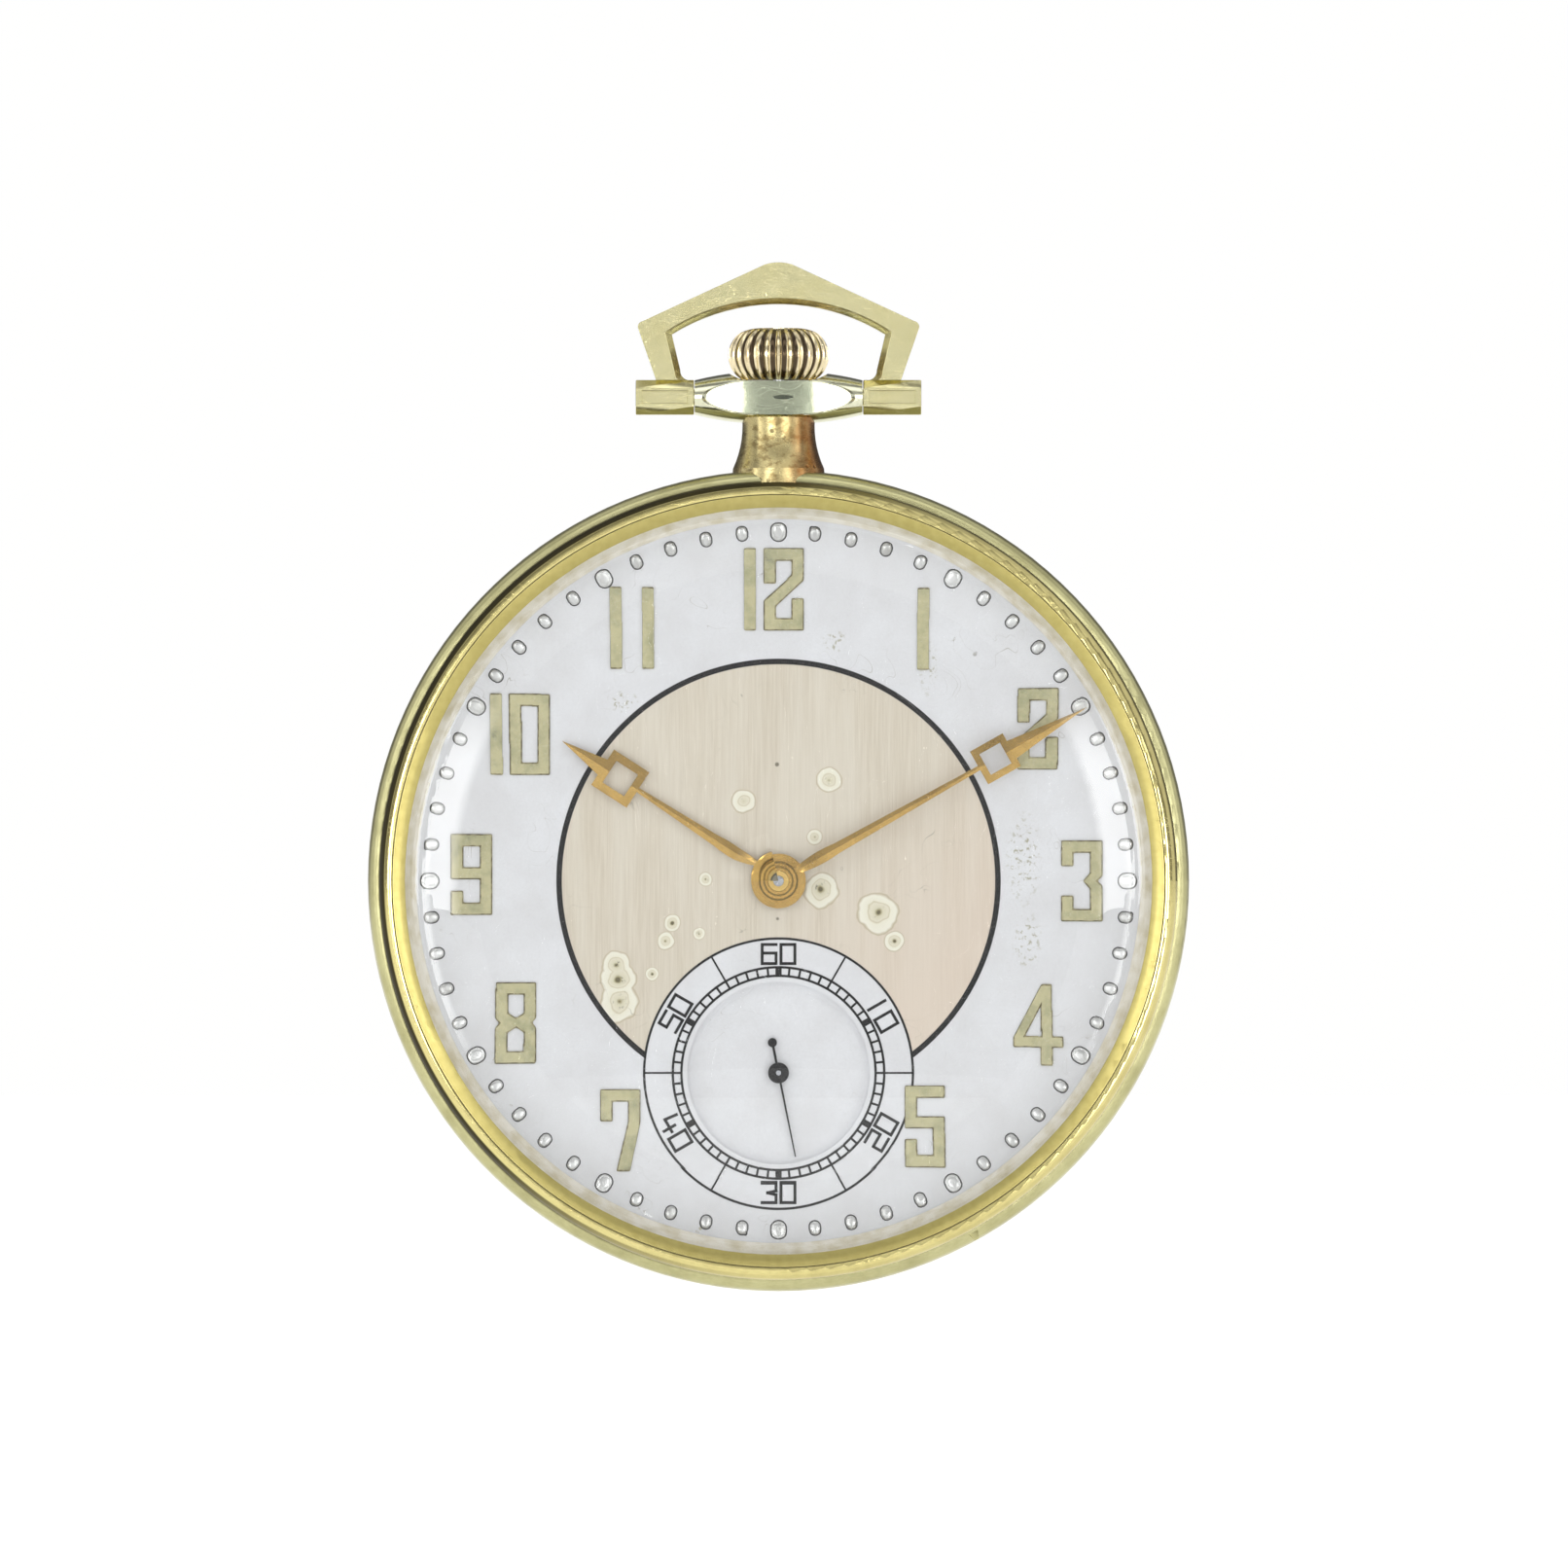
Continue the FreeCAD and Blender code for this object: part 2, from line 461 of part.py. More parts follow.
def yoke():
    arm = plate(outline((0.28, CLUTCH_GROOVE_Y - 0.2), (0.28, CLUTCH_GROOVE_Y + 0.2),
                        (YOKE_PIVOT[0], CLUTCH_GROOVE_Y + 0.6),
                        ((YOKE_PIVOT[0] - 0.6, CLUTCH_GROOVE_Y), (YOKE_PIVOT[0], CLUTCH_GROOVE_Y - 0.6))), *KEYLESS_Z)
    pin = disc(0.13, STEM_Z + 0.75, KEYLESS_Z[0], (0, CLUTCH_GROOVE_Y))
    return joined([arm, pin]).cut(disc(0.3 + RUN, 4, 6, YOKE_PIVOT))


WIND_Z = (1.4, 1.9)      # crown wheel and ratchet wheel, sunk in the barrel bridge


def crown_wheel():
    gear = wheel(CROWN_WHEEL_TEETH, WINDING_MODULE, CROWN_WHEEL_PHASE, *WIND_Z, CROWN_WHEEL_AT, 1.0 + RUN)
    return gear


def ratchet_wheel():
    gear = plate(toothed(RATCHET_TEETH, WINDING_MODULE, RATCHET_PHASE, WHEEL_SIDES, BARREL), *WIND_Z)
    return gear.cut(arbor_square(BARREL, 0.45, WIND_Z[0] - 1, WIND_Z[1] + 1))


def arbor_square(at, half, z0, z1):
    return box(at[0] - half, at[0] + half, at[1] - half, at[1] + half, z0, z1)


def barrel_arbor():
    """The winding arbor: square under the ratchet wheel, a hub for the mainspring, and two pivots."""
    core = turned((0, 1.95), (0.65, 1.95), (0.65, 3.12), (1.5, 3.12), (1.5, 4.1), (0.6, 4.1), (0.6, 4.62), (0, 4.62),
                  at=BARREL)
    square = arbor_square(BARREL, 0.45, WIND_Z[0], 1.95)
    return joined([core, square, slotted_screw(BARREL, 0.95, (1.17, WIND_Z[0]), 0.3, 1.95)])


CLICK_PIVOT = polar(76, 6.35, BARREL)


def click():
    """The pawl, pointed at the ratchet wheel's teeth."""
    corners = [polar(a, r, BARREL) for a, r in ((49, 5.42), (64, 6.55), (78, 7.15), (86, 6.4), (72, 5.75))]
    body = plate(outline(corners[0], *corners[1:]), *WIND_Z)
    return body.cut(disc(0.35 + RUN, 1, 3, CLICK_PIVOT))


def click_spring():
    """A thin blade behind the click."""
    inner, outer, start, end = 7.4, 7.55, 52, 84
    return plate(outline(polar(start, inner, BARREL), (polar(68, inner, BARREL), polar(end, inner, BARREL)),
                         polar(end, outer, BARREL), (polar(68, outer, BARREL), polar(start, outer, BARREL))), 1.5, 1.95)


# ---- going train ------------------------------------------------------------------------------------------
BARREL_Z = (2.95, 4.4)


def barrel_drum():
    low, high = BARREL_Z
    rim = wheel(BARREL_TEETH, BARREL_MODULE, BARREL_PHASE, low + 0.05, low + 0.4, BARREL, 5.7)
    wall = tube(6.2, 5.7, low + 0.2, high, BARREL)
    floor = tube(6.2, 0.6 + RUN, high - 0.25, high, BARREL)
    return joined([rim, wall, floor])


def barrel_cover():
    return tube(5.7, 0.65 + RUN, BARREL_Z[0] + 0.05, BARREL_Z[0] + 0.15, BARREL)


def spiral(at, inner, outer, turns, thickness, z0, z1):
    """A flat spiral ribbon, as quarter-turn arcs whose radius grows steadily."""
    quarter = TAU / 4
    steps = int(turns * 4)
    growth = (outer - inner) / steps

    def point(i, offset):
        r = inner + growth * i + offset
        return (at[0] + r * math.cos(quarter * i), at[1] + r * math.sin(quarter * i))

    out = [(point(i + 0.5, thickness / 2), point(i + 1, thickness / 2)) for i in range(steps)]
    back = [(point(i + 0.5, -thickness / 2), point(i, -thickness / 2)) for i in reversed(range(steps))]
    return plate(outline(point(0, thickness / 2), *out, point(steps, -thickness / 2), *back), z0, z1)


def mainspring():
    return spiral(BARREL, 1.75, 5.5, 9, 0.14, BARREL_Z[0] + 0.25, BARREL_Z[1] - 0.35)


def centre_arbor():
    """Runs from the train bridge through the plate; the cannon pinion grips its long upper end."""
    shaft = turned((0, 1.35), (0.2, 1.35), (0.2, 2.22), (0.5, 2.26), (0.5, 3.9), (0.4, 4.02), (0.4, 4.7),
                   (0.28, 4.72), (0.28, 6.85), (0.18, 6.92), (0, 6.92))
    return joined([shaft, pinion(CENTRE_LEAVES, BARREL_MODULE, CENTRE_PHASE, 2.7, 3.5, CENTRE)])


def centre_wheel():
    return wheel(CENTRE_TEETH, CENTRE_MODULE, CENTRE_PHASE, 2.32, 2.5, CENTRE, 0.5, arms=5, hub=1.3)


def third_wheel():
    return wheel(THIRD_TEETH, THIRD_MODULE, THIRD_PHASE, 3.05, 3.23, THIRD, 0.35, arms=5, hub=1.0)


def third_arbor():
    return joined([arbor(THIRD, 1.35, 4.55, 0.35), pinion(THIRD_LEAVES, CENTRE_MODULE, THIRD_PHASE, 2.26, 2.62, THIRD)])


def fourth_wheel():
    return wheel(FOURTH_TEETH, FOURTH_MODULE, FOURTH_PHASE, 3.65, 3.81, FOURTH, 0.3, arms=5, hub=0.9)


def fourth_arbor():
    """Its upper pivot passes through the plate and the dial to carry the seconds hand."""
    shaft = joined([arbor(FOURTH, 1.35, 4.55, 0.3), disc(0.14, 4.1, 5.72, FOURTH)])
    return joined([shaft, pinion(FOURTH_LEAVES, THIRD_MODULE, FOURTH_PHASE, 2.95, 3.35, FOURTH)])


def escape_wheel():
    """Fifteen raked teeth with club ends."""
    z0, z1 = 3.3, 3.43
    points = []
    for i in range(ESCAPE_TEETH):
        a = ESCAPE_PHASE + TAU * i / ESCAPE_TEETH
        for r, lead in ((1.75, 0.0), (2.2, 0.05), (ESCAPE_R, 0.10), (2.32, 0.19), (2.15, 0.14), (1.75, 0.15)):
            points.append((ESCAPE[0] + r * math.cos(a + lead), ESCAPE[1] + r * math.sin(a + lead)))
    ring = plate(outline(points[0], *points[1:]), z0, z1)
    windows = tube(1.5, 0.6, z0 - 1, z1 + 1, ESCAPE)
    arms = [box(-2, 2, -0.14, 0.14, z0 - 1, z1 + 1), box(-0.14, 0.14, -2, 2, z0 - 1, z1 + 1)]
    arms = [a.translated(V(ESCAPE[0], ESCAPE[1], 0)) for a in arms]
    return ring.cut(windows.cut(arms)).cut(disc(0.2, z0 - 1, z1 + 1, ESCAPE))


def escape_arbor():
    return joined([arbor(ESCAPE, 1.35, 4.55, 0.2),
                   pinion(ESCAPE_LEAVES, FOURTH_MODULE, ESCAPE_PHASE, 3.5, 3.95, ESCAPE)])


def pallet_fork():
    """A straight lever with two pallets that straddle the escape wheel, and a notched fork."""
    z0, z1 = 3.28, 3.45
    reach = math.dist(PALLET, BALANCE) - 1.45
    body = plate(outline((-0.2, -0.22), (-0.2, -1.5), (-0.55, -2.25), (-0.95, -2.35), (-0.75, -1.3), (-0.6, 0.0),
                         (-0.75, 1.3), (-0.95, 2.35), (-0.55, 2.25), (-0.2, 1.5), (-0.2, 0.22),
                         (reach - 0.8, 0.14), (reach, 0.5), (reach + 0.3, 0.42), (reach - 0.25, 0.0),
                         (reach + 0.3, -0.42), (reach, -0.5), (reach - 0.8, -0.14)), z0, z1)
    body.rotate(V(0, 0, 0), V(0, 0, 1), 135)
    body.translate(V(PALLET[0], PALLET[1], 0))
    staff = turned((0, 2.98), (0.1, 2.98), (0.1, 3.17), (0.2, 3.19), (0.2, 3.9), (0.1, 3.92), (0.1, 4.5), (0, 4.5), at=PALLET)
    clear_of_wheel = disc(ESCAPE_R + 0.08, 2, 4, ESCAPE)
    return joined([body.cut(clear_of_wheel), staff])


BALANCE_RIM_Z = (2.62, 2.95)


def balance_wheel():
    """A smooth rim on two arms, with timing screws around it."""
    rim = tube(BALANCE_R - 0.25, BALANCE_R - 0.85, *BALANCE_RIM_Z, BALANCE)
    arm = box(-BALANCE_R + 0.6, BALANCE_R - 0.6, -0.3, 0.3, 2.7, 2.86).translated(V(BALANCE[0], BALANCE[1], 0))
    hub = disc(0.7, 2.66, 2.9, BALANCE)
    screws = []
    for i in range(14):
        angle = 25.7 * i + 12
        screw = Part.makeCylinder(0.14, 0.4, V(BALANCE_R - 0.4, 0, 2.785), V(1, 0, 0))
        screw.rotate(V(0, 0, 0), V(0, 0, 1), angle)
        screws.append(screw.translated(V(BALANCE[0], BALANCE[1], 0)))
    return joined([rim, arm, hub, *screws]).cut(disc(0.25, 2, 4, BALANCE))


def balance_staff():
    staff = turned((0, 1.45), (0.08, 1.45), (0.08, 1.95), (0.25, 1.97), (0.25, 3.9), (0.08, 3.92), (0.08, 4.5), (0, 4.5),
                   at=BALANCE)
    roller = disc(1.1, 3.06, 3.16, BALANCE)
    jewel = disc(0.12, 3.16, 3.42, polar(-45, 0.93, BALANCE))
    return joined([staff, roller, jewel])


def hairspring():
    return joined([spiral(BALANCE, 0.6, 2.9, 11, 0.05, 2.2, 2.42), tube(0.62, 0.25, 2.15, 2.45, BALANCE)])


# ---- frames of the movement --------------------------------------------------------------------------------
def main_plate():
    """The base of the movement, recessed for the barrel, the stem and the work under the dial."""
    low, high = PLATE_Z
    blank = joined([disc(PLATE_R, low, high), disc(20.2, 4.98, high)])
    floor = 4.68
    cuts = [disc(6.95, low - 1, 4.46, BARREL), disc(0.6 + RUN, 4, 4.66, BARREL),
            disc(3.15, floor, 6, CENTRE), disc(3.05, floor, 6, MINUTE_WHEEL),
            disc(1.8, floor, 6, INTERMEDIATE), disc(1.8, 4.57, 6, SETTING_WHEEL),
            disc(5.5, 5.2, 6, FOURTH), disc(0.4 + RUN, 3, 6, CENTRE), disc(0.14 + RUN, 3, 6, FOURTH)]
    cuts += [disc(PIVOT_R + RUN, 3, 4.9, at) for at in (THIRD, ESCAPE)]
    cuts += [disc(0.1 + RUN, 3, 4.9, PALLET), disc(0.08 + RUN, 3, 4.9, BALANCE)]
    cuts += [disc(0.45, low, low + 0.3, BALANCE)]
    # the stem's tunnel, with room for the winding pinion and the clutch, and for the levers over them
    cuts += [y_disc(0.62, 10.9, 21), box(-1.35, 1.35, 11.6, 14.3, 3, 4.68), box(-1.65, 1.65, 14.2, 15.65, 3, 5.05),
             box(-0.6, 0.6, 16.0, 17.9, 3.9, 4.9), box(-0.95, 3.5, 15.5, 18.2, floor, 6),
             box(-3.85, 1.1, 11.4, 14.4, floor, 6), box(-0.4, 0.4, 12.4, 13.8, 4.2, 5)]
    cuts += [disc(0.3, 3, 6, polar(a, FOOT_R)) for a in (*BARREL_BRIDGE_FEET, *TRAIN_BRIDGE_FEET)]
    cuts += [disc(0.3, 3, 6, COCK_FOOT)]
    cuts += [disc(0.2, 3, 4.9, at) for at in CASE_SCREWS]
    cuts += [disc(0.45, 4.4, 6, polar(a, 18.2)) for a in DIAL_FEET]
    plate_made = blank.cut(cuts)
    posts = [disc(0.3, floor, KEYLESS_Z[1] + 0.1, at) for at in (LEVER_PIVOT, YOKE_PIVOT)]
    posts += [disc(0.4, 4.5, 5.2, at) for at in (MINUTE_WHEEL, INTERMEDIATE, SETTING_WHEEL)]
    return joined([plate_made, *posts])


DIAL_FEET = (43, 197, 303)


def foot_wall(start, end, z0, z1):
    """A curved wall near the plate's edge, from one angle to another, that a bridge stands on."""
    inner, outer, middle = 16.4, 18.4, (start + end) / 2
    return plate(outline(polar(start, inner), (polar(middle, inner), polar(end, inner)), polar(end, outer),
                         (polar(middle, outer), polar(start, outer))), z0, z1)


def barrel_bridge():
    """The upper bridge: it holds the barrel arbor and the two winding wheels sunk in its face."""
    low, high, floor = BRIDGE_Z[0], 2.75, 1.95
    face = joined([disc(18.4, low, high).common(box(-19, 19, 2.5, 19, 0, 5)), disc(6.5, low, high, BARREL)])
    feet = [foot_wall(a - 9, a + 9, high, PLATE_Z[0]) for a in BARREL_BRIDGE_FEET]
    cuts = [disc(WINDING_MODULE * RATCHET_TEETH / 2 + 0.4, 0, floor, BARREL),
            disc(WINDING_MODULE * CROWN_WHEEL_TEETH / 2 + 0.4, 0, floor, CROWN_WHEEL_AT),
            disc(0.65 + RUN, 0, 5, BARREL), box(-1.75, 1.75, 14.15, 15.7, 0, 5), box(-1.35, 1.35, 11.5, 14.3, 2.12, 5),
            y_disc(0.62, 10.9, 21), disc(7.1, 2.2, 5, CENTRE), disc(1.3, 0, 5, CENTRE),
            plate(outline(polar(42, 5.0, BARREL), polar(42, 7.75, BARREL), (polar(68, 7.75, BARREL),
                          polar(94, 7.75, BARREL)), polar(94, 5.0, BARREL)), 0, floor)]
    cuts += [disc(0.3, 0, 5, polar(a, FOOT_R)) for a in BARREL_BRIDGE_FEET]
    cuts += [disc(0.62, 0, low + 0.35, polar(a, FOOT_R)) for a in BARREL_BRIDGE_FEET]
    made = joined([face, *feet]).cut(cuts)
    crown_wheel_core = tube(1.0, 0.3, WIND_Z[0] - 0.04, floor, CROWN_WHEEL_AT)
    return joined([made, crown_wheel_core, disc(0.35, WIND_Z[0], floor, CLICK_PIVOT)])


def train_bridge():
    """The lower bridge: it holds the centre, third, fourth and escape pivots."""
    low, high = BRIDGE_Z
    face = disc(18.4, low, high).common(box(-6.5, 19, -19, 2.2, 0, 5))
    feet = [foot_wall(a - 9, a + 9, high, PLATE_Z[0]) for a in TRAIN_BRIDGE_FEET]
    jewels = [disc(JEWEL_R, 0, 5, at) for at in (THIRD, FOURTH, ESCAPE)]
    cuts = [disc(BALANCE_R + 0.55, 0, 5, BALANCE), disc(6.7, 0, 5, BARREL), disc(0.2 + RUN, 0, 5, CENTRE), *jewels]
    cuts += [disc(0.3, 0, 5, polar(a, FOOT_R)) for a in TRAIN_BRIDGE_FEET]
    cuts += [disc(0.62, 0, low + 0.35, polar(a, FOOT_R)) for a in TRAIN_BRIDGE_FEET]
    return joined([face, *feet]).cut(cuts)


def balance_cock():
    """A finger from the plate's edge that holds the balance's outer pivot and the hairspring's stud."""
    low, high = BRIDGE_Z[0], 1.9
    arm = box(0, math.dist(BALANCE, COCK_FOOT) + 0.6, -1.7, 1.7, low, high)
    arm.rotate(V(0, 0, 0), V(0, 0, 1), COCK_ANGLE)
    arm.translate(V(BALANCE[0], BALANCE[1], 0))
    head = disc(1.9, low, high, BALANCE)
    foot = foot_wall(COCK_ANGLE - 7, COCK_ANGLE + 7, high, PLATE_Z[0])
    stud_at = (BALANCE[0] + 3.07, BALANCE[1])
    ear = box(1.5, 3.3, -0.3, 0.3, low, high).translated(V(*BALANCE, 0))
    stud = disc(0.14, high, 2.42, stud_at)
    cuts = [disc(JEWEL_R, 0, 5, BALANCE), disc(0.3, 0, 5, COCK_FOOT), disc(0.62, 0, low + 0.25, COCK_FOOT)]
    return joined([arm.common(disc(18.4, 0, 5)), head, foot, ear, stud]).cut(cuts)


def regulator():
    """The index lever that turns on the balance jewel's cap, with a pointer and a short tail."""
    z0, z1 = 1.12, 1.28
    lever = joined([tube(1.25, 0.62, z0, z1, BALANCE),
                    box(0.9, 4.2, -0.18, 0.18, z0, z1).translated(V(*BALANCE, 0)),
                    box(-2.6, -0.9, -0.3, 0.3, z0, z1).translated(V(*BALANCE, 0))])
    lever.rotate(V(*BALANCE, 0), V(0, 0, 1), COCK_ANGLE - 90)
    return lever


def pallet_bridge():
    """A small cock over the pallet fork's staff, standing on two short feet."""
    low, high, foot_r = 3.0, 3.15, 0.35
    strap = box(-0.45, 1.1, -2.25, 2.25, low, high)
    feet = [disc(foot_r, high, PLATE_Z[0], (0.75, side * 1.9)) for side in (-1, 1)]
    made = joined([strap, *feet])
    made.rotate(V(0, 0, 0), V(0, 0, 1), 135)
    made.translate(V(PALLET[0], PALLET[1], 0))
    return made.cut(disc(0.1 + RUN, 0, 3.5, PALLET))


def train_jewels():
    """Pressed ruby bearings: three in the train bridge, and one with a cap in the balance cock."""
    rings = [tube(JEWEL_R, PIVOT_R + RUN, BRIDGE_Z[0] + 0.1, BRIDGE_Z[0] + 0.5, at) for at in (THIRD, FOURTH, ESCAPE)]
    balance_ring = tube(JEWEL_R, 0.08 + RUN, BRIDGE_Z[0], BRIDGE_Z[0] + 0.4, BALANCE)
    rings.append(joined([balance_ring, disc(0.6, 1.05, BRIDGE_Z[0], BALANCE)]))
    return Part.makeCompound(rings)


def bridge_screws():
    """The screws that hold the bridges, the balance cock and the crown wheel."""
    low = BRIDGE_Z[0]
    screws = [slotted_screw(polar(a, FOOT_R), 0.62, (low, low + 0.35), 0.3, 5.0)
              for a in (*BARREL_BRIDGE_FEET, *TRAIN_BRIDGE_FEET)]
    screws.append(slotted_screw(COCK_FOOT, 0.62, (low - 0.1, low + 0.25), 0.3, 5.0))
    screws.append(slotted_screw(CROWN_WHEEL_AT, 1.45, (1.1, WIND_Z[0] - 0.04), 0.3, 1.95))
    return Part.makeCompound(screws)


def case_screws():
    """Two half-head screws that clamp the movement into the band."""
    return Part.makeCompound([slotted_screw(at, 0.55, (3.6, 4.1), 0.2, 4.9) for at in CASE_SCREWS])


# ---- dial and hands -------------------------------------------------------------------------------------------
def dial_plate():
    """A thin metal dial with a hole for the hands, a hole for the sunk seconds, and three feet."""
    face = disc(DIAL_R, *DIAL_Z).cut([disc(1.0, 5, 6), disc(SECONDS_SINK_R, 5, 6, FOURTH)])
    feet = [disc(0.42, 4.45, DIAL_Z[0], polar(a, 18.2)) for a in DIAL_FEET]
    return joined([face, *feet])


def seconds_dial():
    """The sunk disc behind the small seconds opening."""
    return tube(5.4, 0.14 + 0.1, 5.22, DIAL_Z[0], FOURTH)


DIGIT_W, DIGIT_H, STROKE = 2.2, 4.42, 0.68
NUMERAL_Z = (DIAL_Z[1], DIAL_Z[1] + 0.1)


def strokes(*runs, width=STROKE):
    """A digit from rectangles. Each run is (x0, y0, x1, y1) in shares of the digit's width and height."""
    bars = []
    for x0, y0, x1, y1 in runs:
        bars.append(box(x0 * DIGIT_W, x1 * DIGIT_W, y0 * DIGIT_H, y1 * DIGIT_H, *NUMERAL_Z))
    return joined(bars)


T, S = STROKE / DIGIT_W, STROKE / DIGIT_H      # a stroke as a share of the digit's width and height


def polygon_digit(outer, *holes):
    def solid(points):
        scaled = [(x * DIGIT_W, y * DIGIT_H) for x, y in points]
        return plate(outline(scaled[0], *scaled[1:]), *NUMERAL_Z)

    made = solid(outer)
    for hole in holes:
        made = made.cut(solid(hole))
    return made


def digits():
    """The angular numerals, each with its lower left corner on the origin."""
    mid = 0.5
    slot = ((T, S), (1 - T, S), (1 - T, 1 - S), (T, 1 - S))
    return {
        "0": polygon_digit(((0, 0), (1, 0), (1, 1), (0, 1)), slot),
        "1": strokes((0, 0, T * 0.95, 1)),
        "2": polygon_digit(((0, 0), (1, 0), (1, 0.4), (1 - T, 0.4), (1 - T, S), (T, S), (T, 0.3), (1, 0.62), (1, 1),
                            (0, 1), (0, 0.58), (T, 0.58), (T, 1 - S), (1 - T, 1 - S), (1 - T, 0.68), (0, 0.37))),
        "3": polygon_digit(((0, 0), (1, 0), (1, 0.44), (0.88, mid), (1, 0.56), (1, 1), (0, 1), (0, 0.68), (T, 0.68),
                            (T, 1 - S), (1 - T, 1 - S), (1 - T, 0.6), (0.52, mid), (1 - T, 0.4), (1 - T, S), (T, S),
                            (T, 0.32), (0, 0.32))),
        "4": polygon_digit(((0.56, 0), (0.86, 0), (0.86, 0.22), (1.12, 0.22), (1.12, 0.36), (0.86, 0.36), (0.86, 1),
                            (0.6, 1), (-0.1, 0.34), (-0.1, 0.22), (0.56, 0.22)),
                           ((0.2, 0.36), (0.58, 0.36), (0.58, 0.72))),
        "5": polygon_digit(((0, 0), (1, 0), (1, 0.62), (T, 0.62), (T, 1 - S), (1, 1 - S), (1, 1), (0, 1), (0, 0.47),
                            (1 - T, 0.47), (1 - T, S), (T, S), (T, 0.34), (0, 0.34))),
        "7": polygon_digit(((0.42, 0), (0.76, 0), (1, 0.6), (1, 1), (0, 1), (0, 0.6), (T, 0.6), (T, 1 - S),
                            (1 - T, 1 - S), (1 - T, 0.6))),
        "8": polygon_digit(((0, 0), (1, 0), (1, 0.44), (0.9, mid), (1, 0.56), (1, 1), (0, 1), (0, 0.56), (0.1, mid),
                            (0, 0.44)),
                           ((T, S), (1 - T, S), (1 - T, 0.38), (0.5, 0.44), (T, 0.38)),
                           ((T, 0.62), (0.5, 0.56), (1 - T, 0.62), (1 - T, 1 - S), (T, 1 - S))),
        "9": polygon_digit(((0, 0), (1, 0), (1, 1), (0, 1), (0, 0.44), (1 - T, 0.44), (1 - T, S), (T, S), (T, 0.3),
                            (0, 0.3)), ((T, 0.59), (1 - T, 0.59), (1 - T, 1 - S), (T, 1 - S))),
    }


NUMERAL_PLACES = {      # hour: (centre x, centre y, gap between its two digits)
    "12": (-0.25, 15.9, 0.42), "1": (7.9, 13.75, 0), "2": (14.15, 8.3, 0), "3": (16.55, 0.0, 0),
    "4": (14.15, -7.85, 0), "5": (8.0, -13.4, 0), "7": (-8.65, -13.6, 0), "8": (-14.35, -7.75, 0),
    "9": (-16.75, 0.35, 0), "10": (-14.1, 8.0, 0.36), "11": (-8.0, 13.8, 1.1)}


def hour_numerals():
    """Eleven applied numerals, all upright. Six is left out for the small seconds dial."""
    shapes, solids = digits(), []
    for word, (cx, cy, gap) in NUMERAL_PLACES.items():
        widths = [T * 0.95 * DIGIT_W if d == "1" else DIGIT_W for d in word]
        x = cx - (sum(widths) + gap * (len(word) - 1)) / 2
        for d, w in zip(word, widths):
            solids.append(shapes[d].translated(V(x, cy - DIGIT_H / 2, 0)))
            x += w + gap
    return Part.makeCompound(solids)


MINUTE_TRACK_R = 18.9


def minute_studs():
    """Sixty small domed studs, larger at each five minutes. Both hands' way past them is clear."""
    studs = []
    for i in range(60):
        r = 0.42 if i % 5 == 0 else 0.3
        at = polar(90 - 6 * i, MINUTE_TRACK_R)
        studs.append(turned((0, DIAL_Z[1]), (r, DIAL_Z[1]), ((r * 0.75, DIAL_Z[1] + 0.09), (r * 0.3, DIAL_Z[1] + 0.12)),
                           (0, DIAL_Z[1] + 0.12), at=at))
    return Part.makeCompound(studs)


def open_square_hand(hub, bore, square_at, square, wall, tip_at, spear, z0, z1, hub_z, angle):
    """A hand with a swelling shank, an open square and a spear tip, drawn along +Y and then turned clockwise."""
    inner, outer = square_at - square / 2, square_at + square / 2
    shank = outline((-0.16, hub - 0.3), (-0.16, hub), ((-0.36, hub + 1.6), (-0.3, hub + 2.6)), (-0.13, inner + 0.1),
                    (0.13, inner + 0.1), (0.3, hub + 2.6), ((0.36, hub + 1.6), (0.16, hub)), (0.16, hub - 0.3))
    frame = box(-square / 2, square / 2, inner, outer, z0, z1)
    window = box(-square / 2 + wall, square / 2 - wall, inner + wall, outer - wall, z0 - 1, z1 + 1)
    point = outline((-spear / 2, outer - 0.05), (0, tip_at), (spear / 2, outer - 0.05))
    made = joined([plate(shank, z0, z1), frame.cut(window), plate(point, z0, z1), disc(hub, *hub_z)])
    made = made.cut(disc(bore, 0, 9))
    made.rotate(V(0, 0, 0), V(0, 0, 1), -angle)
    return made


def hour_hand():
    return open_square_hand(1.5, 0.85, 10.3, 2.3, 0.45, 14.1, 1.0, 6.0, 6.12, (5.95, 6.22), HANDS_AT["hour"])


def minute_hand():
    return open_square_hand(1.05, 0.55, 13.6, 2.05, 0.38, 19.2, 1.1, 6.45, 6.57, (6.38, 6.66), HANDS_AT["minute"])


def seconds_hand():
    z0, z1 = 5.56, 5.64
    made = joined([plate(outline((-0.07, -1.6), (0.07, -1.6), (0.035, 4.68), (-0.035, 4.68)), z0, z1),
                   disc(0.25, z0, z1, (0, -1.69)), disc(0.57, z0 - 0.02, z1 + 0.1)])
    made = made.cut(disc(0.14, 5, 6))
    made.rotate(V(0, 0, 0), V(0, 0, 1), -HANDS_AT["seconds"])
    return made.translated(V(*FOURTH, 0))


MOTION_Z = (4.78, 4.98)


def cannon_pinion():
    gear = pinion(CANNON_TEETH, MOTION_MODULE, 0.0, MOTION_Z[0] - 0.03, MOTION_Z[1] + 0.03, CENTRE)
    return joined([gear, disc(0.55, MOTION_Z[0] - 0.03, 6.76)]).cut(disc(0.28 + RUN, 4, 7))


def hour_wheel():
    gear = wheel(HOUR_TEETH, HOUR_MODULE, HOUR_PHASE, 5.05, 5.23, CENTRE, 0.55 + RUN)
    return joined([gear, tube(0.85, 0.55 + RUN, 5.05, 6.24)])


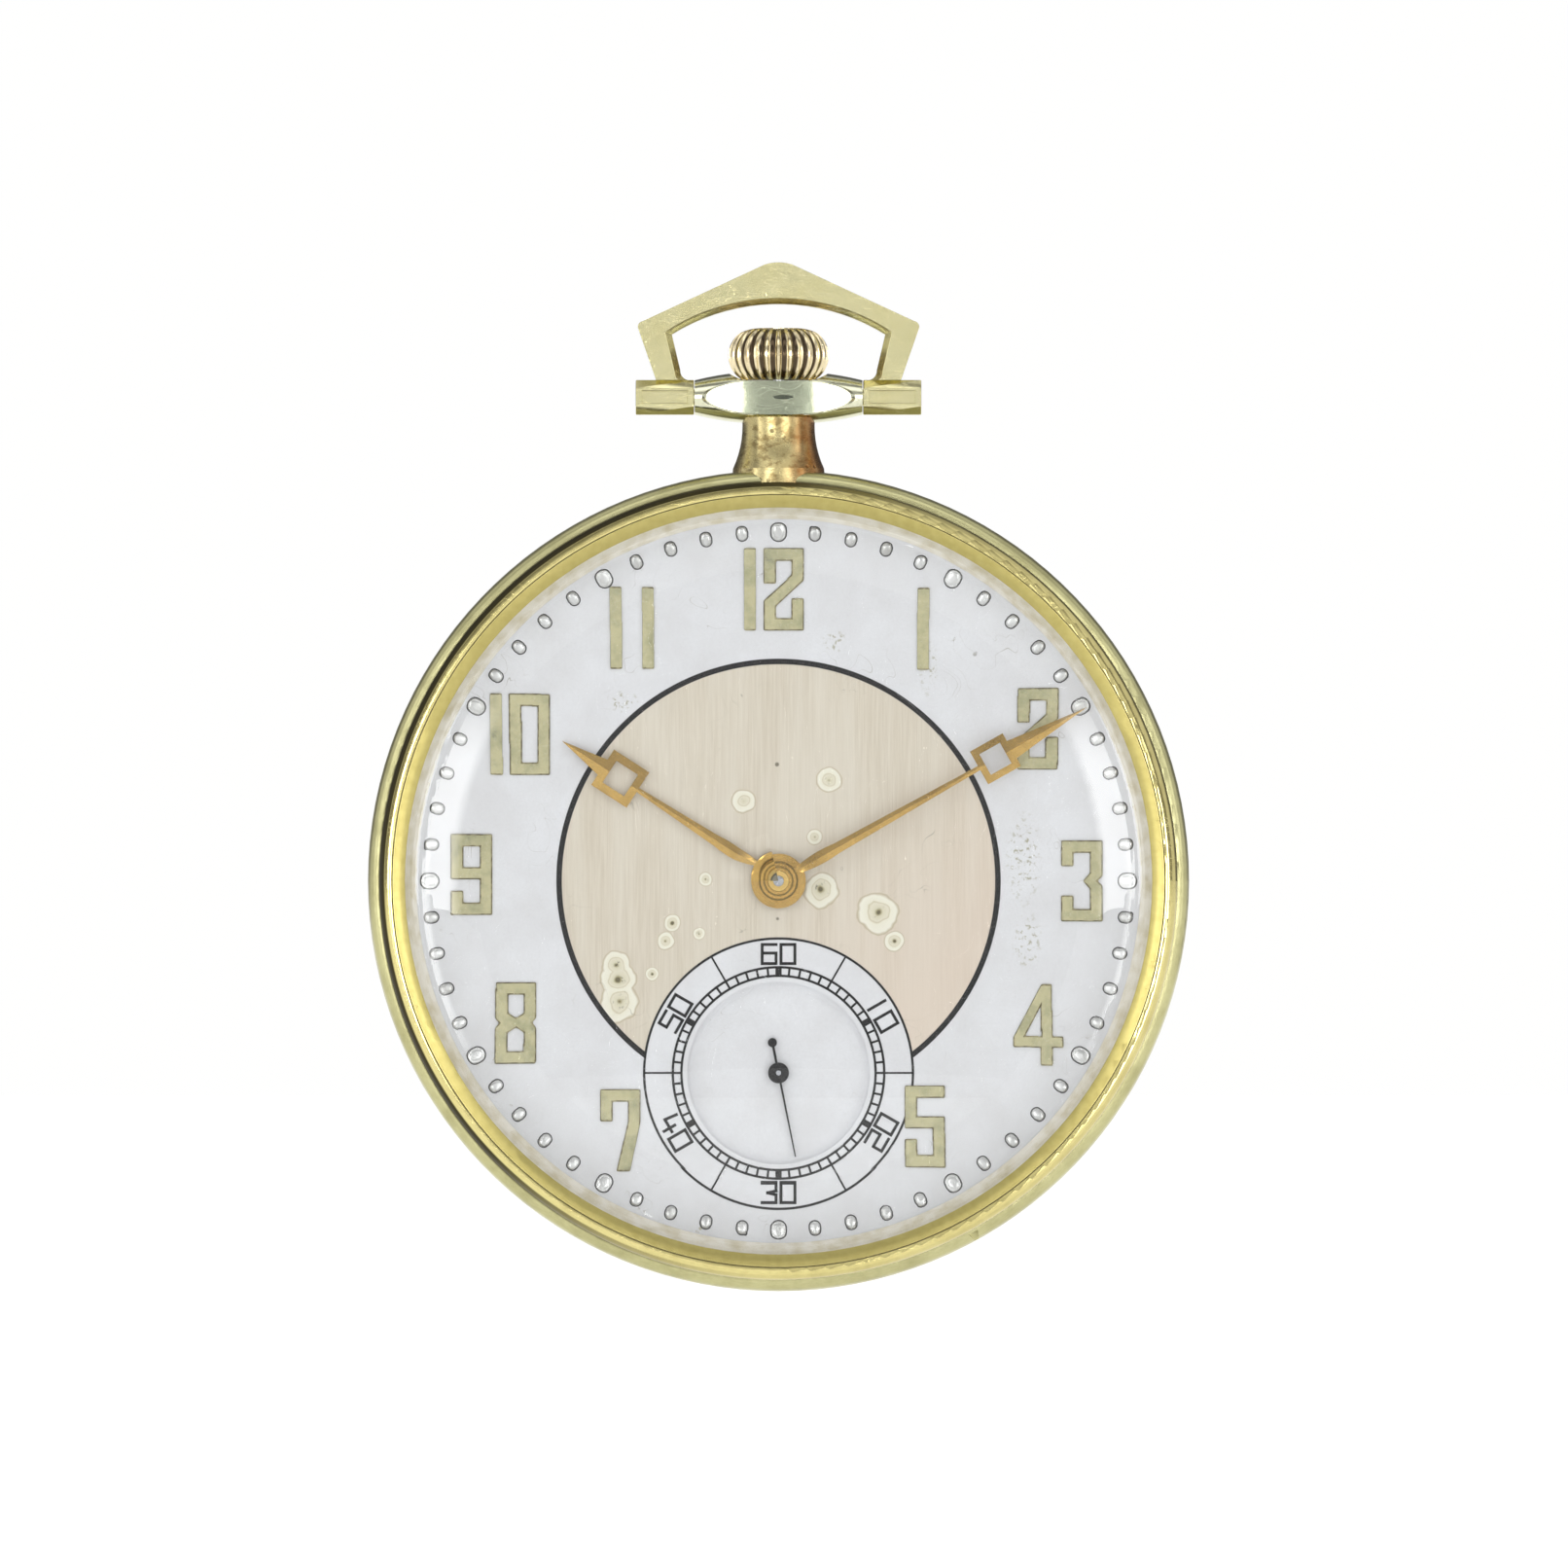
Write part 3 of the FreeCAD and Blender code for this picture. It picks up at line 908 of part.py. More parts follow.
def minute_wheel():
    gear = wheel(MINUTE_TEETH, MOTION_MODULE, MINUTE_PHASE, *MOTION_Z, MINUTE_WHEEL, 0.4 + RUN)
    leaves = plate(toothed(MINUTE_LEAVES, HOUR_MODULE, MINUTE_PHASE,
                           ((-1.0, 0.36), (0.0, 0.34), (0.5, 0.24), (0.8, 0.08)), MINUTE_WHEEL), MOTION_Z[1], 5.3)
    return joined([gear, leaves]).cut(disc(0.4 + RUN, 4, 6, MINUTE_WHEEL))


def intermediate_wheel():
    return wheel(SETTING_TEETH, MOTION_MODULE, INTERMEDIATE_PHASE, *MOTION_Z, INTERMEDIATE, 0.4 + RUN)


def setting_wheel():
    return wheel(SETTING_TEETH, MOTION_MODULE, SETTING_PHASE, 4.6, MOTION_Z[1], SETTING_WHEEL, 0.4 + RUN)


PIECES = (case_band, case_hinge_knuckles, back_hinge_pin, back_cover, back_hinge_knuckle, bezel, crystal, rehaut_ring,
          pendant_neck, pendant_collar, bow_pivots, bow_barrels, bow_frame, crown, winding_stem, winding_pinion,
          clutch_wheel, setting_lever, yoke, crown_wheel, ratchet_wheel, barrel_arbor, click, click_spring,
          barrel_drum, barrel_cover, mainspring, centre_arbor, centre_wheel, third_wheel, third_arbor,
          fourth_wheel, fourth_arbor, escape_wheel, escape_arbor, pallet_fork, balance_wheel, balance_staff,
          hairspring, main_plate, barrel_bridge, train_bridge, balance_cock, regulator, pallet_bridge,
          train_jewels, bridge_screws, case_screws, dial_plate, seconds_dial, hour_numerals, minute_studs,
          hour_hand, minute_hand, seconds_hand, cannon_pinion, hour_wheel, minute_wheel, intermediate_wheel,
          setting_wheel)


def stand_up(shape):
    """Turns a piece drawn dial up so that the watch hangs with twelve o'clock at +Z and the dial at -Y."""
    turned_up = shape.copy()
    turned_up.rotate(V(0, 0, 0), V(1, 0, 0), 90)
    return turned_up


def main():
    os.makedirs("parts", exist_ok=True)
    for piece in PIECES:
        shape = stand_up(piece())
        if not shape.isValid() or not shape.Solids:
            print("not a valid solid:", piece.__name__)
        shape.exportStep(os.path.join("parts", piece.__name__ + ".step"))
        print(piece.__name__, len(shape.Solids), "solids", round(shape.Volume, 3), "mm3")


if __name__ == "__main__":
    main()
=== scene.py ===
import math

import bmesh
import bpy
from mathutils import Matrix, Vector


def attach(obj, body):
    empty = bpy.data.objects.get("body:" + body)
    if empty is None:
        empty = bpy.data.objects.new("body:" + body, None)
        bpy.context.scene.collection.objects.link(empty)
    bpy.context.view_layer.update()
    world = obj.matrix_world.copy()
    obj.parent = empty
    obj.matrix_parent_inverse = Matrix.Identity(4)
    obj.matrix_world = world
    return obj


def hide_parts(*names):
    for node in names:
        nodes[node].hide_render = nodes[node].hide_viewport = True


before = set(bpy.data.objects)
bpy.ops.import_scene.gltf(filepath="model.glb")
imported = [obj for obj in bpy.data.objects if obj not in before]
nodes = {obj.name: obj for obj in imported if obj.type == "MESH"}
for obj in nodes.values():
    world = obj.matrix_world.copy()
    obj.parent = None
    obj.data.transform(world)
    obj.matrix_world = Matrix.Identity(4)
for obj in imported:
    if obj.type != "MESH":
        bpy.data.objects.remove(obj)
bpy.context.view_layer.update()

MM = 0.001
scene = bpy.context.scene
scene.view_settings.view_transform = "Standard"

# ---- sizes shared with the CAD model, in millimetres; the dial's face looks along -Y -------------
DIAL_FACE_Y = -5.75
STEM_Y = -3.4
CROWN_FLUTES = 26
RING_R, RING_W = 12.0, 0.3
SECONDS_Z = -10.5
SECONDS_OUTER_R, SECONDS_NUMBERS_R, SECONDS_TRACK = 7.35, 6.5, (5.31, 5.78)
STUD_PATH_R, STUD_R, FIVE_MINUTE_STUD_R = 18.9, 0.3, 0.42
HANDS_AT = {"hour_hand": 302.9, "minute_hand": 60.6}


# ---- building blocks for materials and the world --------------------------------------------------
class Nodes:
    """A node tree with a few short ways to add to it. Values are sockets or plain numbers."""

    def __init__(self, tree):
        self.tree = tree

    def put(self, socket, value):
        if hasattr(value, "is_linked"):
            self.tree.links.new(value, socket)
        elif isinstance(value, (tuple, list)) and len(value) == 3 and socket.type == "RGBA":
            socket.default_value = (*value, 1)
        else:
            socket.default_value = value

    def node(self, kind, **settings):
        made = self.tree.nodes.new("ShaderNode" + kind)
        for key, value in settings.items():
            setattr(made, key, value)
        return made

    def vector(self, operation, a, b):
        made = self.node("VectorMath", operation=operation)
        self.put(made.inputs[0], a)
        self.put(made.inputs[1], b)
        return made.outputs["Value" if operation in ("DISTANCE", "DOT_PRODUCT", "LENGTH") else "Vector"]

    def split(self, a):
        made = self.node("SeparateXYZ")
        self.put(made.inputs[0], a)
        return made.outputs

    def math(self, operation, a, b=0.0):
        made = self.node("Math", operation=operation)
        self.put(made.inputs[0], a)
        self.put(made.inputs[1], b)
        return made.outputs[0]

    def ramp(self, factor, *stops):
        """stops are (position, grey or colour)."""
        made = self.node("ValToRGB")
        band = made.color_ramp
        while len(band.elements) < len(stops):
            band.elements.new(0.5)
        for element, (position, colour) in zip(band.elements, stops):
            element.position = position
            element.color = (*colour, 1) if isinstance(colour, tuple) else (colour, colour, colour, 1)
        self.put(made.inputs[0], factor)
        return made.outputs[0]

    def step(self, value, low, high):
        """0 below low, 1 above high; the other way round where low is more than high."""
        made = self.node("MapRange", clamp=True)
        self.put(made.inputs["Value"], value)
        made.inputs["From Min"].default_value = min(low, high)
        made.inputs["From Max"].default_value = max(low, high)
        made.inputs["To Min"].default_value = 0.0 if low < high else 1.0
        made.inputs["To Max"].default_value = 1.0 if low < high else 0.0
        return made.outputs["Result"]

    def mix(self, factor, a, b):
        made = self.node("Mix", data_type="RGBA")
        self.put(made.inputs["Factor"], factor)
        self.put(made.inputs[6], a)
        self.put(made.inputs[7], b)
        return made.outputs[2]

    def shader_mix(self, factor, a, b):
        made = self.node("MixShader")
        for socket, value in zip(made.inputs, (factor, a, b)):
            self.tree.links.new(value, socket)
        return made.outputs[0]


class Look(Nodes):
    """A Principled material. Coordinates are the row frame in mm."""

    def __init__(self, name, colour=(0.8, 0.8, 0.8), metallic=0.0, roughness=0.4):
        self.material = bpy.data.materials.new(name)
        self.material.use_nodes = True
        super().__init__(self.material.node_tree)
        self.shader = self.tree.nodes["Principled BSDF"]
        self.output = self.tree.nodes["Material Output"]
        self.shader.inputs["Base Color"].default_value = (*colour, 1)
        self.shader.inputs["Metallic"].default_value = metallic
        self.shader.inputs["Roughness"].default_value = roughness
        coordinates = self.tree.nodes.new("ShaderNodeTexCoord").outputs["Object"]
        self.mm = self.vector("MULTIPLY", coordinates, (1000, 1000, 1000))
        self.x, self.y, self.z = self.split(self.mm)

    def noise(self, scale, stretch=(1, 1, 1), detail=3.0, distortion=0.0, rough=0.5):
        """Noise with a cell of about 1/scale mm."""
        made = self.node("TexNoise")
        self.put(made.inputs["Vector"], self.vector("MULTIPLY", self.mm, stretch))
        self.put(made.inputs["Scale"], scale)
        self.put(made.inputs["Detail"], detail)
        self.put(made.inputs["Roughness"], rough)
        self.put(made.inputs["Distortion"], distortion)
        return made.outputs[0]

    def cells(self, scale):
        made = self.node("TexVoronoi")
        self.put(made.inputs["Vector"], self.mm)
        self.put(made.inputs["Scale"], scale)
        return made.outputs

    def near(self, value, middle):
        """How far value is from middle."""
        return self.math("ABSOLUTE", self.math("SUBTRACT", value, middle))

    def base_colour(self):
        """What feeds the base colour so far, to be tinted further."""
        return self.shader.inputs["Base Color"].links[0].from_socket

    def set(self, **inputs):
        for key, value in inputs.items():
            self.put(self.shader.inputs[key.replace("_", " ")], value)

    def bump(self, height, distance_mm, strength=1.0):
        """Bumps the surface; a second call adds to the first."""
        made = self.node("Bump")
        self.put(made.inputs["Height"], height)
        made.inputs["Distance"].default_value = distance_mm * MM
        made.inputs["Strength"].default_value = strength
        normal = self.shader.inputs["Normal"]
        if normal.is_linked:
            self.tree.links.new(normal.links[0].from_socket, made.inputs["Normal"])
        self.tree.links.new(made.outputs[0], normal)


def srgb(r, g, b):
    """A screen colour from 0 to 255 as linear numbers."""
    return tuple(((c / 255 + 0.055) / 1.055) ** 2.4 if c > 10 else c / 255 / 12.92 for c in (r, g, b))


def metal(name, colour, worn, roughness, grain=(1, 1, 1), wear=0.35, scratch=0.25, pits=0.0):
    """Polished or brushed metal: cloudy tarnish, fine grain along one direction, thin scratches and pits."""
    look = Look(name, colour, 1.0, roughness)
    cloud = look.noise(0.45, detail=6, rough=0.6)
    grain_noise = look.noise(9.0, grain, detail=4)
    tint = look.mix(look.math("MULTIPLY", look.step(cloud, 0.45, 0.72), wear), colour, worn)
    tint = look.mix(look.step(grain_noise, 0.35, 0.75), tint, look.mix(0.22, tint, worn))
    lines = look.near(look.noise(0.6, (1, 1, 3), detail=1.5, distortion=1.2), 0.5)
    hairline = look.math("MULTIPLY", look.step(lines, 0.006, 0.001), look.step(look.noise(0.25), 0.45, 0.6))
    look.bump(hairline, -0.01, scratch)
    look.bump(grain_noise, 0.004, 0.35)
    spread = look.math("ADD", look.math("MULTIPLY", cloud, 0.16), look.math("MULTIPLY", grain_noise, 0.10))
    if pits:
        spot = look.cells(1.6)[0]
        where = look.step(look.noise(0.5, detail=4), 0.5, 0.62)
        pit = look.math("MULTIPLY", look.step(spot, 0.22, 0.08), where)
        tint = look.mix(look.math("MULTIPLY", pit, pits), tint, tuple(c * 0.25 for c in worn))
        look.bump(pit, -0.05, pits)
        spread = look.math("ADD", spread, look.math("MULTIPLY", pit, 0.4))
    look.set(Base_Color=tint, Roughness=look.math("ADD", spread, roughness - 0.12))
    return look


# ---- the case's metals ---------------------------------------------------------------------------
PALE = srgb(220, 214, 168)
# A near-black brown, used only for painted shade and painted dark reflection on the bezel and band.
PAINTED_DARK = srgb(30, 24, 10)
band_gold = metal("band_gold_look", srgb(198, 194, 146), srgb(134, 128, 84), 0.34, (0.3, 5, 0.3), 0.4)
back_gold = metal("back_gold_look", srgb(218, 206, 140), srgb(146, 128, 62), 0.2, (1, 1, 7), 0.45, 0.5)
bow_gold = metal("bow_gold_look", PALE, srgb(150, 138, 80), 0.2, (7, 1, 0.5), 0.35, 0.6)


def from_axis(look):
    """Distance in mm from the axis through the middle of the dial."""
    return look.vector("LENGTH", look.vector("MULTIPLY", look.mm, (1, 0, 1)), (0, 0, 0))


def dark_reflection_by_side(look):
    """How much painted dark reflection shows: most at the left and upper left, nearly none at the lower
    right.
    """
    side = look.math("SUBTRACT", look.math("MULTIPLY", look.z, 0.35), look.math("MULTIPLY", look.x, 0.9))
    return look.math("ADD", look.math("MULTIPLY", look.step(side, -7.0, 9.0), 0.84), 0.10)


def bezel_look():
    """A pale crest, a fine line of painted shade where it steps down, the inner face below it painted a
    deeper olive gold as painted shade, and a painted dark reflection at the foot, strongest at the left.
    """
    look = metal("bezel_gold_look", srgb(226, 214, 148), srgb(150, 132, 66), 0.16, (0.3, 5, 0.3), 0.3)
    old = look.base_colour()
    radius = from_axis(look)
    # Painted shade: the inward-facing face inside the crest is coloured a darker olive gold than the crest.
    shaded_slope = look.mix(look.noise(2.2, detail=4), srgb(186, 174, 112), srgb(160, 148, 86))
    on_slope = look.step(radius, 21.1, 21.02)
    tint = look.mix(on_slope, old, shaded_slope)
    # Painted shade: a thin dark line where the crest steps down.
    step_shade_line = look.math("MULTIPLY", look.step(radius, 21.05, 21.08), look.step(radius, 21.15, 21.12))
    # Painted dark reflection over the foot, strongest at the left and upper left.
    foot = look.math("MULTIPLY", look.step(radius, 21.48, 21.56), dark_reflection_by_side(look))
    darkening = look.math("MAXIMUM", look.math("MULTIPLY", step_shade_line, 0.7), foot)
    dull = look.math("ADD", look.math("MULTIPLY", on_slope, 0.2), 0.14)
    look.set(Base_Color=look.mix(darkening, tint, PAINTED_DARK),
             Roughness=look.math("ADD", look.math("MULTIPLY", darkening, 0.4), dull))
    return look


def band_with_painted_shade():
    """The band, with painted shade where the bezel's foot meets it, strongest at the left."""
    look = band_gold
    old = look.base_colour()
    # Painted shade at the top of the band, next to the bezel's foot.
    foot = look.math("MULTIPLY", look.step(from_axis(look), 21.95, 21.84), look.step(look.y, -5.2, -5.5))
    look.set(Base_Color=look.mix(look.math("MULTIPLY", foot, dark_reflection_by_side(look)), old, PAINTED_DARK))


band_with_painted_shade()


def collar_look():
    """Bright metal. The front facet is a little domed by wear, so its ends mirror the lamps at the sides."""
    look = metal("collar_look", srgb(226, 226, 200), srgb(150, 146, 104), 0.14, (4, 1, 0.5), 0.3, 0.5)
    old = look.base_colour()
    front = look.step(look.y, -4.44, -4.48)
    look.bump(look.math("MULTIPLY", look.math("MULTIPLY", look.x, look.x), front), -0.019, 1.0)
    wander = look.math("MULTIPLY", look.noise(1.2, detail=4), 0.7)
    edge = look.math("ADD", look.math("ABSOLUTE", look.x), wander)
    grey = look.math("MULTIPLY", look.step(edge, 2.35, 2.15), front)
    from_middle = look.vector("SUBTRACT", look.mm, (0.25, 0, 26.5))
    slit = look.vector("LENGTH", look.vector("MULTIPLY", from_middle, (1.0, 0, 5.0)), (0, 0, 0))
    tint = look.mix(grey, old, srgb(176, 182, 158))
    tint = look.mix(look.math("MULTIPLY", look.step(slit, 0.62, 0.5), front), tint, srgb(92, 96, 84))
    look.set(Base_Color=tint)
    return look


def neck_look():
    """The neck is pitted, and coppery where the gold has worn through."""
    look = metal("neck_look", srgb(206, 192, 140), srgb(128, 100, 52), 0.26, (0.6, 0.6, 5), 0.5, 0.6, 0.9)
    old = look.base_colour()
    ragged = look.math("MULTIPLY", look.noise(1.1, detail=5), 2.6)
    right = look.step(look.math("ADD", look.x, ragged), 1.6, 3.1)
    copper = look.mix(look.noise(3.0, detail=4), srgb(176, 118, 66), srgb(112, 70, 34))
    blotch = look.step(look.noise(1.4, (1, 1, 1.6), detail=6, rough=0.7), 0.5, 0.6)
    tint = look.mix(look.math("MULTIPLY", blotch, 0.6), old, srgb(110, 84, 40))
    look.set(Base_Color=look.mix(look.math("MULTIPLY", right, 0.85), tint, copper))
    return look


def crown_look():
    """Pale rose gold on the ribs, dark brown in the flutes."""
    look = metal("crown_look", srgb(236, 222, 184), srgb(164, 132, 92), 0.2, (1, 1, 3), 0.35, 0.3)
    old = look.base_colour()
    angle = look.math("ARCTAN2", look.math("SUBTRACT", look.y, STEM_Y), look.x)
    flute = look.math("COSINE", look.math("MULTIPLY", angle, float(CROWN_FLUTES)))
    radius = look.vector("DISTANCE", look.mm, (0.0, STEM_Y, 28.9))
    darkening = look.math("MULTIPLY", look.step(flute, -0.25, 0.35), look.step(radius, 1.6, 2.1))
    look.set(Base_Color=look.mix(look.math("MULTIPLY", darkening, 0.93), old, srgb(46, 28, 16)))
    return look


# ---- dial ----------------------------------------------------------------------------------------
# Blisters in the beige lacquer, (x, z, radius) in mm, each drawn with a pale halo and a dark heart.
BLISTERS = ((5.45, -1.75, 1.15), (6.35, -3.3, 0.55), (2.3, -0.45, 1.0), (-1.9, 4.35, 0.75), (2.75, 5.5, 0.7),
            (2.0, 2.4, 0.45), (-4.0, 0.1, 0.4), (-8.8, -5.4, 1.0), (-8.7, -6.6, 1.15), (-8.9, -4.6, 0.8),
            (-5.8, -2.3, 0.45), (-4.35, -2.9, 0.35), (-6.9, -5.1, 0.35), (-6.2, -3.3, 0.5))
# Smudges on the silver, (x, z, half width, half height) in mm.
SMUDGES = ((13.4, 1.2, 1.0, 2.6), (13.6, -3.3, 0.8, 1.6), (-8.5, 9.8, 0.9, 0.6), (3.1, 13.1, 0.7, 0.6),
           (-15.4, -9.7, 1.2, 0.4), (8.2, 11.6, 0.5, 1.6), (-4.2, -19.0, 0.6, 0.5))
IN_DIAL = (1, 0.1, 1)    # noise that hardly changes through the dial's thickness


def lacquer(look, brush):
    """The beige middle, brushed from top to bottom and pinker at the lower right."""
    wide = look.noise(1.0, (0.8, 0.1, 0.08), detail=3)
    beige = look.mix(look.step(brush, 0.3, 0.72), srgb(221, 212, 196), srgb(204, 193, 174))
    beige = look.mix(look.math("MULTIPLY", look.step(wide, 0.4, 0.62), 0.5), beige, srgb(224, 217, 203))
    low_right = look.step(look.math("SUBTRACT", look.x, look.z), 1.0, 14.0)
    return look.mix(look.math("MULTIPLY", low_right, 0.45), beige, srgb(224, 203, 188))


def blistered(look, beige, inside):
    """The lacquer with its blisters, which stand up a little."""
    wobble = look.noise(0.8, IN_DIAL, detail=2)
    nearest = 9.0
    for x, z, r in BLISTERS:
        d = look.vector("DISTANCE", look.vector("MULTIPLY", look.mm, (1, 0, 1)), (x, 0, z))
        nearest = look.math("MINIMUM", look.math("DIVIDE", d, r), nearest)
    uneven = look.math("MULTIPLY", look.math("SUBTRACT", wobble, 0.5), 0.75)
    reach = look.math("ADD", nearest, uneven)
    halo = look.ramp(look.math("DIVIDE", reach, 1.4),
                     (0.03, srgb(96, 88, 58)), (0.07, srgb(168, 158, 118)), (0.14, srgb(216, 210, 184)),
                     (0.32, srgb(226, 220, 200)), (0.36, srgb(206, 197, 168)), (0.40, srgb(234, 230, 212)),
                     (0.60, srgb(238, 235, 220)), (0.68, srgb(190, 176, 148)), (0.73, srgb(218, 208, 190)))
    grain = look.step(look.noise(4.5, IN_DIAL, detail=3, rough=0.7), 0.62, 0.66)
    heart = look.math("MULTIPLY", look.step(reach, 0.5, 0.2), grain)
    halo = look.mix(look.math("MULTIPLY", heart, 0.8), halo, srgb(92, 88, 66))
    look.bump(look.math("MULTIPLY", look.step(reach, 1.0, 0.7), inside), 0.02, 0.6)
    return look.mix(look.step(reach, 1.04, 0.98), beige, halo)


def bubbled(look, beige):
    """Tiny bright bubbles, in some of the cells."""
    spot, chance = look.cells(1.5)[:2]
    chosen = look.step(look.split(chance)[1], 0.78, 0.79)
    bright_dot = look.math("MULTIPLY", look.step(spot, 0.13, 0.08), chosen)
    return look.mix(look.math("MULTIPLY", bright_dot, 0.8), beige, srgb(248, 246, 238))


def smudged(look, tint):
    speck = look.step(look.noise(3.4, IN_DIAL, detail=4, rough=0.7), 0.55, 0.60)
    for x, z, rx, rz in SMUDGES:
        scaled = look.vector("MULTIPLY", look.mm, (1 / rx, 0, 1 / rz))
        near = look.vector("DISTANCE", scaled, (x / rx, 0, z / rz))
        mask = look.math("MULTIPLY", look.step(near, 1.1, 0.5), speck)
        tint = look.mix(look.math("MULTIPLY", mask, 0.75), tint, srgb(150, 144, 108))
    return tint


def pitted(look, tint):
    """Dark pits and a few fine hairs."""
    spot, chance = look.cells(0.55)[:2]
    chosen = look.step(look.split(chance)[0], 0.90, 0.91)
    pit = look.math("MULTIPLY", look.step(spot, 0.075, 0.05), chosen)
    tint = look.mix(look.math("MULTIPLY", pit, 0.8), tint, srgb(92, 84, 62))
    lines = look.near(look.noise(0.35, IN_DIAL, detail=1, distortion=2.0), 0.5)
    some = look.step(look.noise(0.22, IN_DIAL), 0.56, 0.6)
    hair = look.math("MULTIPLY", look.step(lines, 0.0022, 0.0008), some)
    look.bump(pit, -0.02, 0.7)
    return look.mix(look.math("MULTIPLY", hair, 0.55), tint, srgb(140, 134, 118))


def dial_look(name, sunk=False):
    """Misted silver, with painted shade near the outer edge that grows towards the bottom; the main dial,
    not the sunk one, also has the beige middle and the smudges.
    """
    silver = srgb(228, 229, 233)
    look = Look(name, silver, 0.12, 0.42)
    radius = from_axis(look)
    mist = look.noise(0.35, IN_DIAL, detail=6, rough=0.6)
    fine = look.noise(7.0, IN_DIAL, detail=5, rough=0.65)
    tint = look.mix(look.step(mist, 0.35, 0.7), silver, srgb(219, 219, 222))
    tint = look.mix(look.math("MULTIPLY", look.step(fine, 0.4, 0.75), 0.25), tint, srgb(198, 198, 200))
    # Painted shade: darker near the outer edge, more towards the bottom.
    rim_shade = look.math("MULTIPLY", look.step(radius, 17.0, 20.1), look.step(look.z, 4.0, -16.0))
    tint = look.mix(look.math("MULTIPLY", rim_shade, 0.35), tint, srgb(172, 172, 172))
    if not sunk:
        flat = look.vector("MULTIPLY", look.mm, (1, 0, 1))
        from_seconds = look.vector("DISTANCE", flat, (0, 0, SECONDS_Z))
        inside = look.math("MULTIPLY", look.step(radius, RING_R + 0.02, RING_R - 0.02),
                           look.step(from_seconds, SECONDS_OUTER_R - 0.02, SECONDS_OUTER_R + 0.02))
        brush = look.noise(1.0, (14, 0.1, 0.35), detail=5, rough=0.6)
        beige = bubbled(look, blistered(look, lacquer(look, brush), inside))
        look.bump(look.math("MULTIPLY", brush, inside), 0.006, 0.5)
        tint = smudged(look, look.mix(inside, tint, beige))
    tint = pitted(look, tint)
    look.bump(fine, 0.004, 0.4)
    look.set(Base_Color=tint, Roughness=look.math("ADD", look.math("MULTIPLY", fine, 0.25), 0.32))
    return look


def numeral_look():
    """Tarnished gold leaf, rubbed through to grey in places."""
    look = Look("numeral_look", srgb(190, 182, 142), 0.35, 0.45)
    worn = look.noise(0.9, IN_DIAL, detail=6, rough=0.65)
    grit = look.noise(6.0, IN_DIAL, detail=4, rough=0.7)
    tint = look.mix(look.step(worn, 0.42, 0.66), srgb(192, 186, 146), srgb(160, 158, 122))
    tint = look.mix(look.math("MULTIPLY", look.step(grit, 0.55, 0.75), 0.45), tint, srgb(212, 208, 186))
    bare = look.math("MULTIPLY", look.step(worn, 0.62, 0.68), look.step(grit, 0.45, 0.55))
    tint = look.mix(look.math("MULTIPLY", bare, 0.6), tint, srgb(122, 122, 104))
    look.bump(grit, 0.01, 0.6)
    look.set(Base_Color=tint, Roughness=look.math("ADD", look.math("MULTIPLY", grit, 0.3), 0.3))
    return look


def edge_look():
    """The dark line around each numeral, on its bevelled edge: partly the numeral's own dark outline, partly
    painted shade along its side.
    """
    look = Look("numeral_edge_look", srgb(96, 86, 50), 0.2, 0.5)
    grit = look.noise(4.0, IN_DIAL, detail=4)
    look.bump(grit, 0.005, 0.4)
    look.set(Base_Color=look.mix(look.step(grit, 0.4, 0.62), srgb(104, 94, 56), srgb(164, 156, 120)))
    return look


def hand_look(name, clockwise):
    """Polished gold with a ridge along the hand, and dark turned lines around its hub."""
    look = metal(name, srgb(202, 166, 96), srgb(112, 84, 34), 0.24, (1, 1, 1), 0.5, 0.3)
    old = look.base_colour()
    radius = from_axis(look)
    lines = 0.0
    for ring, strength in ((1.02, 0.7), (0.78, 0.6), (0.52, 0.85)):
        line = look.step(look.near(radius, ring), 0.07, 0.02)
        lines = look.math("MAXIMUM", look.math("MULTIPLY", line, strength), lines)
    look.set(Base_Color=look.mix(lines, old, srgb(70, 48, 16)))
    a = math.radians(clockwise)
    across = look.vector("DOT_PRODUCT", look.mm, (math.cos(a), 0.0, -math.sin(a)))
    along = look.vector("DOT_PRODUCT", look.mm, (math.sin(a), 0.0, math.cos(a)))
    ridge = look.math("MULTIPLY", look.math("ABSOLUTE", across), look.step(along, 1.3, 1.8))
    look.bump(ridge, -0.8, 0.45)
    return look


def black_look():
    """Ink, with the grain of the dial showing through."""
    look = Look("black_ink_look", srgb(12, 10, 14), 0.0, 0.6)
    grit = look.noise(5.0, IN_DIAL, detail=4)
    look.bump(grit, 0.004, 0.4)
    look.set(Base_Color=look.mix(look.step(grit, 0.5, 0.72), srgb(10, 9, 13), srgb(44, 40, 40)),
             Specular_IOR_Level=0.15)
    return look


def rehaut_look():
    """The pale, slightly misted reflector ring under the crystal."""
    look = Look("rehaut_look", srgb(236, 230, 214), 0.3, 0.3)
    mist = look.noise(1.2, detail=5)
    look.bump(mist, 0.008, 0.4)
    look.set(Base_Color=look.mix(look.step(mist, 0.4, 0.7), srgb(238, 233, 220), srgb(214, 205, 178)))
    return look


